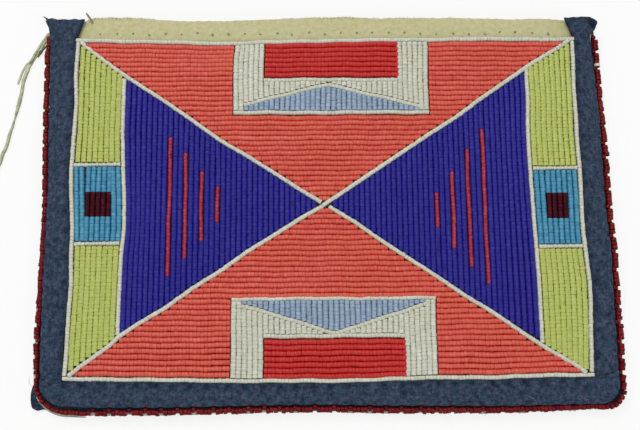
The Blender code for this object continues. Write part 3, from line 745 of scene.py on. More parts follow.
@dataclass
class BeadRun:
    """Places for beads: their middles, the directions of their holes, the way up, sizes and tones."""

    middles: list[np.ndarray] = field(default_factory=list)
    frames: list[np.ndarray] = field(default_factory=list)
    sizes: list[np.ndarray] = field(default_factory=list)
    tones: list[float] = field(default_factory=list)

    def add(self, middle: np.ndarray, ahead: np.ndarray, up: np.ndarray, size: np.ndarray, tone: float) -> None:
        """Adds one bead.

        Args:
            middle: Its middle.
            ahead: The direction of its hole.
            up: Roughly away from the hide.
            size: Its length, width and height.
            tone: How pale it is, from 0 to 1.
        """
        ahead = ahead / np.linalg.norm(ahead)
        side = np.cross(up, ahead)
        side /= np.linalg.norm(side)
        self.middles.append(middle)
        self.frames.append(np.stack([ahead, side, np.cross(ahead, side)], axis=1))
        self.sizes.append(size)
        self.tones.append(tone)

    def build(self, name: str, bead: SeedBead) -> bpy.types.Object:
        """Makes one mesh with a copy of the bead at each place.

        Args:
            name: The new piece's name.
            bead: The bead that is copied.

        Returns:
            The new object.
        """
        count, each = len(self.middles), len(bead.points)
        scaled = bead.points[None] * np.array(self.sizes)[:, None]
        turned = np.einsum("nij,npj->npi", np.array(self.frames), scaled)
        places = (turned + np.array(self.middles)[:, None]).reshape(-1, 3)
        piece = Hands.mesh(name, places, Hands.repeated(bead.faces, count, each))
        # tone is each bead's own paleness; crest carries the painted light and shade of the finish.
        for look, values in (("tone", np.repeat(self.tones, each)), ("crest", np.tile(bead.crests, count))):
            made = piece.data.attributes.new(look, "FLOAT", "POINT")
            made.data.foreach_set("value", values.astype(np.float32))
        piece.data.shade_smooth()
        return piece


@dataclass
class Beadwork:
    """The beaded front: rows laid along the drawing's lines, each bead a piece of glass."""

    row_pitch: float = 0.00198
    bead_pitch: float = 0.00134
    outline_x: float = 0.09505
    outline_y: float = 0.0648
    edge_reach: float = 0.014
    beside: float = 0.0009
    least: float = 0.42
    thin: float = 0.00174
    fine: float = 0.00178
    left_edge: Line = (
        (-0.063, -0.0954), (-0.05, -0.0953), (-0.04, -0.0949), (-0.03, -0.0946), (-0.015, -0.0949),
        (0.0, -0.0957), (0.013, -0.0964), (0.028, -0.0957), (0.04, -0.0957), (0.05, -0.0961),
        (0.062, -0.0958),
    )
    right_edge: Line = (
        (-0.06, 0.0955), (-0.05, 0.0963), (-0.04, 0.0967), (-0.03, 0.0969), (-0.02, 0.0961),
        (-0.012, 0.0955), (0.0, 0.0959), (0.015, 0.0958), (0.028, 0.0955), (0.045, 0.0958), (0.061, 0.096),
    )
    top_edge: Line = (
        (-0.095, 0.065), (-0.07, 0.0642), (-0.04, 0.0634), (-0.02, 0.0639), (0.0, 0.0644), (0.02, 0.0646),
        (0.05, 0.0649), (0.095, 0.0648),
    )
    bottom_edge: Line = (
        (-0.095, -0.0648), (-0.07, -0.0651), (-0.05, -0.0657), (-0.03, -0.0659), (0.0, -0.0662),
        (0.02, -0.0657), (0.045, -0.0652), (0.06, -0.0654), (0.08, -0.0648), (0.095, -0.0646),
    )
    left_inner: Line = (
        (-0.05, -0.0769), (-0.04, -0.0769), (-0.02, -0.0766), (-0.01, -0.0758), (0.0, -0.076),
        (0.015, -0.0769), (0.028, -0.0776), (0.05, -0.0773),
    )
    right_inner: Line = (
        (-0.053, 0.0782), (-0.03, 0.0781), (0.0, 0.0773), (0.02, 0.0769), (0.03, 0.077), (0.04, 0.0776),
        (0.053, 0.0773),
    )
    falling: Line = (
        (-0.0945, 0.064), (-0.0871, 0.0577), (-0.0765, 0.0498), (-0.07, 0.0454), (-0.06, 0.0387),
        (-0.05, 0.0314), (-0.04, 0.024), (-0.03, 0.018), (-0.02, 0.0115), (-0.01, 0.0048),
        (-0.0022, 0.0), (0.0006, -0.0017), (0.01, -0.0075), (0.02, -0.0148), (0.03, -0.0215),
        (0.04, -0.0282), (0.05, -0.0353), (0.06, -0.0415), (0.07, -0.0487), (0.08, -0.0554),
        (0.09, -0.0613), (0.0935, -0.0639),
    )
    rising: Line = (
        (-0.094, -0.0637), (-0.09, -0.0604), (-0.08, -0.0532), (-0.0765, -0.0498), (-0.07, -0.0454),
        (-0.06, -0.0395), (-0.05, -0.0322), (-0.04, -0.026), (-0.03, -0.0187), (-0.02, -0.0125),
        (-0.01, -0.0061), (-0.0025, -0.0019), (0.0, 0.0), (0.0031, 0.002), (0.04, 0.027), (0.05, 0.0334),
        (0.06, 0.0409), (0.07, 0.0479), (0.08, 0.0549), (0.09, 0.061), (0.0944, 0.0641),
    )
    dice: random.Random = field(default_factory=lambda: random.Random(12))
    runs: dict[str, BeadRun] = field(default_factory=dict)

    def warp(self, u: np.ndarray, v: np.ndarray) -> tuple[np.ndarray, np.ndarray]:
        """Moves the drawing's points, so that its edges follow the sewn ones and no row is quite straight.

        Args:
            u: Across the drawing.
            v: Up the drawing.

        Returns:
            The moved u and v.
        """
        near_left = 1 - smooth((u + self.outline_x) / self.edge_reach)
        near_right = 1 - smooth((self.outline_x - u) / self.edge_reach)
        near_top = 1 - smooth((self.outline_y - v) / self.edge_reach)
        near_bottom = 1 - smooth((v + self.outline_y) / self.edge_reach)
        du = near_left * (along(self.left_edge, v) + self.outline_x)
        du = du + near_right * (along(self.right_edge, v) - self.outline_x)
        dv = near_top * (along(self.top_edge, u) - self.outline_y)
        dv = dv + near_bottom * (along(self.bottom_edge, u) + self.outline_y)
        wave = 0.0001 * (np.sin(u * 310 + v * 140) + np.sin(v * 270 - u * 90 + 1.3))
        sway = 0.0001 * (np.sin(u * 150 - v * 230 + 0.7) + np.sin(u * 420 + v * 60 + 2.1))
        lean = 0.0007 * np.exp(-(((u + 0.0345) / 0.005) ** 2)) * smooth((v - 0.056) / 0.008)
        return u + du + wave + lean, v + dv + sway

    def row(
        self, name: str, line: Line, warped: bool = True, proud: float = 0.0, width: float = 0.00208
    ) -> None:
        """Lays one row of beads along a line of the drawing.

        Args:
            name: The group of beads that the row belongs to.
            line: The line's points.
            warped: Whether the line is straight in the drawing and follows the sewn edges.
            proud: How far the row stands above its neighbours.
            width: The beads' width across the row.
        """
        points = np.array(line, float)
        if points[0][1] == points[-1][1] or points[0][0] == points[-1][0]:
            steps = max(2, int(np.linalg.norm(points[-1] - points[0]) / 0.002))
            points = np.linspace(points[0], points[-1], steps)
        u, v = points[:, 0], points[:, 1]
        if warped:
            u, v = self.warp(u, v)
        x, y = SHAPE.drawn(u, v)
        path = SHAPE.place(x, y, SHAPE.bead_base + SHAPE.bead / 2)
        reach = reach_along(path)
        if reach[-1] < self.bead_pitch * self.least:
            return
        count = max(1, round(reach[-1] / self.bead_pitch))
        pitch = min(reach[-1] / count, self.bead_pitch * 1.14)
        start = (reach[-1] - count * pitch) / 2 + pitch / 2
        shade = self.dice.gauss(0, 0.05)
        run = self.runs.setdefault(name, BeadRun())
        for index in range(count):
            at = start + index * pitch + self.dice.gauss(0, 0.00003)
            middle, ahead_of = (
                np.array([np.interp(s, reach, path[:, k]) for k in range(3)]) for s in (at, at + 0.0004)
            )
            ahead = ahead_of - middle
            if not ahead.any():
                ahead = path[-1] - path[-2]
            up = self.normal(middle[0], middle[1] - SHAPE.middle_y)
            across = np.cross(up, ahead / np.linalg.norm(ahead))
            middle = middle + across * self.dice.gauss(0, 0.00004)
            middle = middle + up * (proud + self.dice.gauss(0, 0.00003))
            ahead = ahead / np.linalg.norm(ahead) + across * self.dice.gauss(0, 0.03)
            swell = min(1.05, max(0.94, self.dice.gauss(1, 0.022)))
            long = pitch / 0.69 * min(1.06, max(1.02, self.dice.gauss(1.04, 0.01)))
            tone = min(1.0, max(0.0, self.dice.gauss(0.5 + shade, 0.12)))
            high = min(SHAPE.bead, width + 0.0001) * swell
            run.add(middle, ahead, up, np.array([long, width * swell, high]), tone)

    @staticmethod
    def normal(x: float, y: float) -> np.ndarray:
        """The way out of the panel at one of its positions."""
        step = 0.0005
        rise_x = (SHAPE.lift(x + step, y) - SHAPE.lift(x - step, y)) / (2 * step)
        rise_y = (SHAPE.lift(x, y + step) - SHAPE.lift(x, y - step)) / (2 * step)
        out = np.array([-float(rise_x), -float(rise_y), 1.0])
        return out / np.linalg.norm(out)

    def lattice(self, low: float, high: float) -> np.ndarray:
        """Row middles that fill the space between two edges.

        Args:
            low: The lower edge.
            high: The upper edge.

        Returns:
            Evenly spaced middles, close to the row pitch apart.
        """
        count = max(1, round((high - low) / self.row_pitch))
        return low + (high - low) * (np.arange(count) + 0.5) / count

    def lay_outline(self) -> None:
        """The white rows round the panel, the two diagonals and the two inner uprights."""
        x, y = self.outline_x, self.outline_y
        ends = y - SHAPE.bead / 2
        tail = 0.0006
        for v in (y, -y):
            self.row("white_outline_frame", ((-x - tail, v), (x + tail, v)), width=self.thin)
        for side in (-x, x):
            self.row("white_outline_frame", ((side, -ends), (side, ends)), width=self.thin)
        crossing = 11
        for part, line in (("upper", self.falling[:crossing]), ("lower", self.falling[crossing:])):
            self.row(f"white_diagonal_falling_{part}", line, warped=False, proud=0.00015, width=self.thin)
        self.row("white_diagonal_rising", self.rising, warped=False, proud=0.0003, width=self.thin)
        for name, inner in (("left", self.left_inner), ("right", self.right_inner)):
            upright = [(u, v) for v, u in inner if abs(v) < 0.0485]
            low, high = self.between(upright[0][0])
            upright = [(upright[0][0], low), *upright, (upright[-1][0], high)]
            self.row(f"white_inner_row_{name}", upright, warped=False, width=self.thin)

    def between(self, u: float, room: float = 0.0) -> tuple[float, float]:
        """The clear height between the diagonals beside their crossing.

        Args:
            u: Across the drawing.
            room: Extra room kept to each diagonal.

        Returns:
            The lowest and highest v.
        """
        beside = self.beside * math.hypot(1, 0.68) + room
        first, second = float(along(self.falling, u)), float(along(self.rising, u))
        return min(first, second) + beside, max(first, second) - beside

    def lay_coral(self) -> None:
        """The rows across, above and below the crossing."""
        beside = 0.84 * self.beside * math.hypot(1, 1 / 0.68)
        for name, side, reach in (("coral_field_top", 1, 0.0353), ("coral_field_bottom", -1, 0.0362)):
            falls = sorted((v, u) for u, v in self.falling)
            rises = sorted((v, u) for u, v in self.rising)
            for index in range(34):
                v = side * (self.outline_y - self.row_pitch * (index + 1))
                cuts = sorted((float(along(falls, v)), float(along(rises, v))))
                left, right = cuts[0] + beside, cuts[1] - beside
                if side * v < 0.001 or right - left < self.bead_pitch * self.least:
                    continue
                if side * v > reach - self.row_pitch * 0.55:
                    self.row(name, ((left, v), (-0.036, v)))
                    self.row(name, ((0.0397, v), (right, v)))
                else:
                    self.row(name, ((left, v), (right, v)))

    def lay_cobalt(self) -> None:
        """The upright rows left and right of the crossing, with part of four rows in crimson on each side."""
        accents = {
            -1: (
                (-0.0592, -0.0276, 0.0257), (-0.0531, -0.0209, 0.0194),
                (-0.0472, -0.0145, 0.012), (-0.0412, -0.0075, 0.0064),
            ),
            1: (
                (0.0412, -0.0099, 0.0034), (0.0471, -0.0178, 0.0117),
                (0.0531, -0.0251, 0.0204), (0.0593, -0.0311, 0.0283),
            ),
        }
        for label, side, inner in (("left", -1, self.left_inner), ("right", 1, self.right_inner)):
            start = side * 0.0412
            pitch = 0.00201
            for step in range(-19, 20):
                u = start + side * step * pitch
                if not 0.0024 < abs(u) < 0.0768:
                    continue
                low, high = self.between(u)
                if high - low < self.bead_pitch * self.least:
                    continue
                edge = max(abs(float(along(inner, v))) for v in (low * 0.9, 0.0, high * 0.9))
                near = smooth((abs(u) - 0.065) / 0.012)
                steps = np.linspace(low, high, 24)
                bend = [(u + side * near * (abs(float(along(inner, v))) - 0.0771), v) for v in steps]
                if abs(bend[12][0]) > edge - self.beside:
                    continue
                spans = [spot for spot in accents[side] if abs(spot[0] - u) < pitch / 2]
                if not spans:
                    self.row(f"cobalt_field_{label}", bend, warped=False)
                    continue
                middle, from_v, to_v = spans[0]
                number = accents[side].index(spans[0]) + 1
                line = ((u, from_v), (u, to_v))
                self.row(f"accent_{label}_{number}", line, proud=-0.0001, width=self.fine)
                self.row(f"cobalt_field_{label}", ((u, low), (u, from_v - 0.0001)))
                self.row(f"cobalt_field_{label}", ((u, to_v + 0.0001), (u, high)))

    def lay_side(self, label: str, side: int, block: Point, square: tuple[float, float, float, float]) -> None:
        """One side column: green rows, the turquoise block with its dark square, and green rows.

        Args:
            label: Left or right.
            side: -1 or 1.
            block: The middles of the two white cross rows.
            square: The dark square's left, right, low and high edges.
        """
        inner = self.left_inner if side < 0 else self.right_inner
        outer = self.left_edge if side < 0 else self.right_edge
        low_row, high_row = block
        half = self.thin / 2 + 0.0001
        spans = (
            ("lower", -0.0648, low_row - half),
            ("block", low_row + half, high_row - half),
            ("upper", high_row + half, 0.0648),
        )
        for part, low, high in spans:
            middle = (low + high) / 2
            ends = sorted((float(along(inner, middle)), float(along(outer, middle))))
            count = 9 if part == "block" and side < 0 else 8
            for index in range(count):
                share = (index + 1) / (count + 1)
                line = []
                for v in np.linspace(low, high, 22):
                    a, b = sorted((float(along(inner, v)), float(along(outer, v))))
                    line.append((a + (b - a) * share, v))
                u = ends[0] + (ends[1] - ends[0]) * share
                clear_low, clear_high = self.outside(u, side)
                line = [(x, v) for x, v in line if clear_low <= v <= clear_high]
                line = self.trimmed(line, u, max(low, clear_low), min(high, clear_high))
                if part != "block":
                    self.row(f"green_field_{part}_{label}", line, warped=False)
                    continue
                left, right, bottom, top = square
                if not left < u < right:
                    self.row(f"turquoise_block_{label}", line, warped=False)
                    continue
                self.row(f"turquoise_block_{label}", [(u, low), (u, bottom)], warped=False)
                self.row(f"garnet_square_{label}", [(u, bottom + 0.0001), (u, top - 0.0001)], warped=False)
                self.row(f"turquoise_block_{label}", [(u, top), (u, high)], warped=False)
        for part, v in (("lower", low_row), ("upper", high_row)):
            a, b = sorted((float(along(inner, v)), float(along(outer, v))))
            line = [(a + half, v), (b - half, v + 0.0002)]
            self.row(f"white_cross_row_{part}_{label}", line, warped=False, width=self.thin)

    def outside(self, u: float, side: int) -> Point:
        """The clear height outside the inner upright, between the diagonals and inside the outline."""
        low, high = self.between(u)
        return max(low, -self.outline_y + self.beside), min(high, self.outline_y - self.beside)

    @staticmethod
    def trimmed(line: list[Point], u: float, low: float, high: float) -> list[Point]:
        """A row's line with its ends brought to the given heights."""
        if not line:
            return [(u, low), (u, high)]
        return [(line[0][0], low), *line[1:-1], (line[-1][0], high)]

    def lay_motif(
        self, label: str, side: int, base: float, bar: Point, peak: tuple[float, float, float, float]
    ) -> None:
        """One white motif, its red bar, its pale blue peak and the row along its base.

        Args:
            label: Top or bottom.
            side: 1 at the mouth and -1 at the bottom.
            base: The base row's distance from the middle.
            bar: The distances of the row beside the bar, and of the bar's inner edge.
            peak: The peak's middle u, its height, and the sloping row's distance at each end.
        """
        left, right = -0.0358, 0.0395
        bar_left, bar_right = -0.0239, 0.0281
        beside_bar, bar_inner = bar
        peak_u, peak_v, low_left, low_right = peak
        top = self.outline_y - self.beside + 0.0003
        slope_left, slope_right = -0.0318, 0.0362
        slopes = ((slope_left, low_left), (peak_u, peak_v), (slope_right, low_right))

        def slope(u: float) -> float:
            """The distance of the sloping row from the middle."""
            return float(along(slopes, u))

        def across(v: float, start: float, finish: float) -> Line:
            """A row's line across the motif."""
            return [(start, side * v), (finish, side * v)]

        name = f"white_motif_{label}"
        self.row(f"white_base_row_{label}", across(base, left + 0.0001, right - 0.0001), width=self.thin)
        halves = (
            ((slope_left, low_left), (peak_u, peak_v)),
            ((peak_u + 0.0001, peak_v), (slope_right, low_right)),
        )
        for first, second in halves:
            points = np.linspace(first, second, 12)
            self.row(name, [(u, side * v) for u, v in points], width=self.thin)
        self.row(name, across(beside_bar, bar_left + 0.0001, bar_right - 0.0004), width=self.thin)
        room = self.beside - 0.0001
        for u in self.lattice(left, right):
            start = base + room
            leg = u < bar_left or u > bar_right
            finish = top - 0.0004 if leg else beside_bar - room
            if slope_left < u < slope_right:
                crest = slope(u)
                if crest - room > start:
                    self.row(f"pale_blue_peak_{label}", [(u, side * start), (u, side * (crest - room))])
                start = crest + room
            if finish > start:
                self.row(name, [(u, side * start), (u, side * finish)])
        for v in self.lattice(bar_inner, top):
            self.row(f"red_bar_{label}", across(v, bar_left + 0.0004, bar_right - 0.0001))

    def lay(self) -> None:
        """Lays every row of the front."""
        self.lay_outline()
        self.lay_coral()
        self.lay_cobalt()
        self.lay_side("left", -1, (-0.0153, 0.015), (-0.0912, -0.0808, -0.0051, 0.0044))
        self.lay_side("right", 1, (-0.0173, 0.0128), (0.0822, 0.0909, -0.0067, 0.0031))
        self.lay_motif("top", 1, 0.0353, (0.0484, 0.0496), (0.0006, 0.0465, 0.0384, 0.0376))
        self.lay_motif("bottom", -1, 0.0362, (0.0499, 0.0511), (0.0024, 0.049, 0.0385, 0.0385))

    def build(self, bead: SeedBead) -> None:
        """Makes one piece of beads for each solid of the beadwork.

        Args:
            bead: The bead that is copied.
        """
        finishes = (
            ("coral", Finish.CORAL), ("cobalt", Finish.COBALT), ("green", Finish.LIME),
            ("turquoise", Finish.TURQUOISE), ("garnet", Finish.GARNET), ("pale_blue", Finish.PALE_BLUE),
            ("red_bar", Finish.RED), ("accent", Finish.CRIMSON), ("white", Finish.WHITE),
        )
        for name, run in self.runs.items():
            finish = next(kind for start, kind in finishes if name.startswith(start))
            fit(run.build(f"{name}_glass", bead), finish, [name])
        LOG.info("%d beads on the front", sum(len(run.middles) for run in self.runs.values()))


@dataclass
class Strands:
    """Round or flattened strands along lines, all in one mesh."""

    width: float
    height: float
    sides: int = 8
    lines: list[tuple[np.ndarray, Sequence[float], Sequence[float]]] = field(default_factory=list)

    def add(
        self, line: Sequence[Sequence[float]], swells: Line = ((0, 1), (1, 1)), turns: Line = ((0, 0), (1, 0))
    ) -> None:
        """Adds one strand.

        Args:
            line: Its middle line.
            swells: Shares of its length, and how thick it is there.
            turns: Shares of its length, and its twist there in degrees.
        """
        points = np.array([tuple(point) for point in line], float)
        reach = reach_along(points)
        share = reach / reach[-1]
        self.lines.append((points, along(swells, share), np.radians(along(turns, share))))

    def build(self, name: str) -> bpy.types.Object:
        """Sweeps an oval along every line.

        Args:
            name: The new piece's name.

        Returns:
            The mesh of all the strands.
        """
        Hands.clear()
        bpy.ops.curve.primitive_bezier_circle_add(radius=self.width / 2)
        oval = bpy.context.active_object
        oval.data.resolution_u = max(1, self.sides // 4)
        for point in oval.data.splines[0].bezier_points:
            for corner in (point.co, point.handle_left, point.handle_right):
                corner.y *= self.height / self.width
        curve = bpy.data.curves.new(name, "CURVE")
        curve.dimensions = "3D"
        curve.bevel_mode = "OBJECT"
        curve.bevel_object = oval
        curve.use_fill_caps = True
        curve.twist_mode = "Z_UP"
        for points, swells, turns in self.lines:
            spline = curve.splines.new("POLY")
            spline.points.add(len(points) - 1)
            for place, spot, swell, turn in zip(spline.points, points, swells, turns):
                place.co = (*spot, 1)
                place.radius = swell
                place.tilt = turn
        Hands.take(Hands.link(name, curve))
        bpy.ops.object.convert(target="MESH")
        piece = bpy.context.active_object
        bpy.data.objects.remove(oval)
        return Hands.finish(piece)


def smooth_line(route: Sequence[Sequence[float]], steps: int = 5) -> list[Vector]:
    """Points on a smooth curve through a route.

    Args:
        route: The route's own points.
        steps: Points in each stretch.

    Returns:
        The closer points.
    """
    places = [Vector(point) for point in route]
    ends = [2 * places[0] - places[1], *places, 2 * places[-1] - places[-2]]
    line = []
    for before, start, end, after in zip(ends, ends[1:], ends[2:], ends[3:]):
        for step in range(steps):
            t = step / steps
            bend = 2 * start + (end - before) * t
            bend += (2 * before - 5 * start + 4 * end - after) * t**2
            bend += (3 * start - 3 * end + after - before) * t**3
            line.append(bend / 2)
    return [*line, places[-1]]


def length_of(line: Sequence[Vector]) -> float:
    """The length of a line of points."""
    return sum((end - start).length for start, end in zip(line, line[1:]))


@dataclass
class Thong:
    """The hide lace knotted through the open top of the left side seam, lying on the table."""

    width: float = 0.00122
    thickness: float = 0.0008
    long_route: tuple[tuple[float, float, float], ...] = (
        (-0.1067, 0.0727, 0.0025), (-0.1091, 0.0727, 0.0023), (-0.1103, 0.0712, 0.0017),
        (-0.1114, 0.0699, 0.0012), (-0.1124, 0.0683, 0.0008), (-0.1133, 0.0667, 0.0006),
        (-0.1141, 0.0652, 0.0006), (-0.1148, 0.0639, 0.0006), (-0.1155, 0.0627, 0.0006),
        (-0.1163, 0.0613, 0.0006), (-0.1171, 0.06, 0.0006), (-0.1177, 0.0581, 0.0006),
        (-0.1184, 0.0559, 0.0006), (-0.1189, 0.054, 0.0006), (-0.1192, 0.0503, 0.0006),
        (-0.1197, 0.0466, 0.0006), (-0.1203, 0.0434, 0.0006), (-0.1208, 0.0405, 0.0006),
        (-0.1214, 0.0376, 0.0006), (-0.1219, 0.035, 0.0007), (-0.1228, 0.0319, 0.0007),
        (-0.1233, 0.0288, 0.0007), (-0.1241, 0.0259, 0.0006), (-0.125, 0.0238, 0.0006),
        (-0.1256, 0.0209, 0.0006), (-0.1267, 0.0183, 0.0006), (-0.1285, 0.0159, 0.0006),
    )
    short_route: tuple[tuple[float, float, float], ...] = (
        (-0.1067, 0.0734, 0.0025), (-0.1098, 0.0733, 0.0023), (-0.1111, 0.0718, 0.0016),
        (-0.1122, 0.0705, 0.0011), (-0.1132, 0.069, 0.0008), (-0.1141, 0.0674, 0.0007),
        (-0.1148, 0.0659, 0.0008), (-0.1153, 0.0645, 0.0012), (-0.1159, 0.0629, 0.0014),
        (-0.1167, 0.0619, 0.0012), (-0.118, 0.061, 0.0007), (-0.1188, 0.0596, 0.0005),
        (-0.1195, 0.0581, 0.0005), (-0.1204, 0.0552, 0.0005), (-0.121, 0.0528, 0.0005),
    )

    def lace(
        self, name: str, route: Sequence[Sequence[float]], swells: Line, turns: Line
    ) -> tuple[bpy.types.Object, list[Vector]]:
        """One end of the lace: a cut strip of hide along a route, twisted here and there.

        Args:
            name: The new piece's name.
            route: Its middle line.
            swells: Shares of its length, and how thick it is there.
            turns: Shares of its length, and its twist there in degrees.

        Returns:
            The piece and its middle line's points.
        """
        line = smooth_line(route)
        strand = Strands(self.width, self.thickness, 12)
        strand.add(line, swells, turns)
        piece = strand.build(name)
        places = Hands.points(piece)
        middles = np.array([tuple(point) for point in line])
        nearest = np.argmin(np.linalg.norm(places[:, None] - middles[None], axis=2), axis=1)
        beside = (places - middles[nearest])[:, 0] / self.width
        hollow = np.array([noise.noise(Vector(place) * 700) for place in places])
        # Painted shade: the lace darkens towards its right side and in patches from noise, meant as its hollows.
        return Hands.paint_shade(piece, 0.35 * smooth((beside - 0.12) / 0.4) + 0.35 * smooth(hollow)), line

    def build(self) -> None:
        """Lays both ends and the knot."""
        swells = (
            (0, 0.95), (0.09, 1.02), (0.2, 0.8), (0.235, 0.76), (0.275, 1.12), (0.305, 1.38),
            (0.34, 1.3), (0.372, 1.48), (0.388, 1.2), (0.43, 1.2), (0.52, 1.36), (0.6, 1.04),
            (0.64, 0.98), (0.72, 1.22), (0.9, 1.3), (1, 1.1),
        )
        turns = ((0, 0), (0.3, 10), (0.45, 5), (0.55, -10), (0.63, 70), (0.72, 20), (1, 0))
        long_end, line = self.lace("thong_long", self.long_route, swells, turns)
        short_swells = ((0, 0.88), (0.4, 0.9), (0.6, 0.76), (0.75, 0.8), (0.95, 0.9), (1, 0.7))
        short_end, _ = self.lace("thong_short", self.short_route, short_swells, ((0, 0), (0.6, 0), (1, 30)))
        knot = self.knot()
        fit(long_end, Finish.THONG, ["thong_long_end"])
        fit(short_end, Finish.THONG, ["thong_short_end"])
        fit(knot, Finish.THONG)
        length_of(line)

    def knot(self) -> bpy.types.Object:
        """The bend of lace tucked in beside both ends, painted dark all over as shade."""
        tuck = Strands(self.width, self.thickness * 1.3, 12)
        route = (
            (-0.1104, 0.0694, 0.001), (-0.1111, 0.0683, 0.001), (-0.1119, 0.0674, 0.0009),
            (-0.1127, 0.0663, 0.0009), (-0.1133, 0.0652, 0.0008), (-0.1139, 0.0641, 0.0006),
        )
        tuck.add(smooth_line(route), ((0, 0.3), (0.25, 0.8), (0.45, 0.7), (0.62, 1.15), (0.85, 0.7), (1, 0.4)))
        knot = tuck.build("thong_knot")
        # Painted shade over the whole knot.
        return Hands.paint_shade(knot, np.full(len(knot.data.vertices), 0.8))


class Cloth:
    """Cuts cloth from a grid and lays it over the purse's shape."""

    @staticmethod
    def rumple(points: np.ndarray, scale: float, depth: float, seed: float = 0.0) -> np.ndarray:
        """Soft uneven heights over a set of points.

        Args:
            points: The points, one row each.
            scale: Repeats a metre.
            depth: The height of the waves.
            seed: Where the pattern starts.

        Returns:
            One height for each point.
        """
        start = Vector((seed, seed * 0.7, 0))
        heights = [noise.noise(Vector((x * scale, y * scale, 0)) + start) for x, y in points[:, :2]]
        return depth * np.array(heights)

    @staticmethod
    def lay(
        name: str, columns: int, rows: int, spread: Callable, thickness: float, rim: float
    ) -> bpy.types.Object:
        """One piece of cloth.

        Args:
            name: The new piece's name.
            columns: Faces across.
            rows: Faces along.
            spread: Gives the upper face's points for arrays of shares across and along.
            thickness: The cloth's thickness, under its upper face.
            rim: How far its edges are rounded.

        Returns:
            The finished piece.
        """
        piece = Hands.grid(name, columns, rows)
        places = Hands.points(piece)
        Hands.move(piece, spread(places[:, 0] + 0.5, places[:, 1] + 0.5))
        wall = {"thickness": thickness, "offset": -1, "use_even_offset": False}
        edge = {"width": rim, "segments": 2, "limit_method": "ANGLE", "angle_limit": math.radians(60)}
        return Hands.finish(piece, ("SOLIDIFY", wall), ("BEVEL", edge))

    @staticmethod
    def round_off(x: np.ndarray, y: np.ndarray, half: float, low: float, radius: float, side: int) -> tuple:
        """Rounds one lower corner of a rectangle of points.

        Args:
            x: Across.
            y: Along.
            half: The rectangle's half width.
            low: Its lower edge.
            radius: The corner's radius.
            side: -1 for the left corner and 1 for the right.

        Returns:
            The moved x and y.
        """
        a = (side * x - half + radius) / radius
        b = (low + radius - y) / radius
        inside = (a > 0) & (b > 0)
        a, b = np.clip(a, 0, 1), np.clip(b, 0, 1)
        round_x = side * (half - radius + radius * a * np.sqrt(1 - b * b / 2))
        round_y = low + radius - radius * b * np.sqrt(1 - a * a / 2)
        return np.where(inside, round_x, x), np.where(inside, round_y, y)


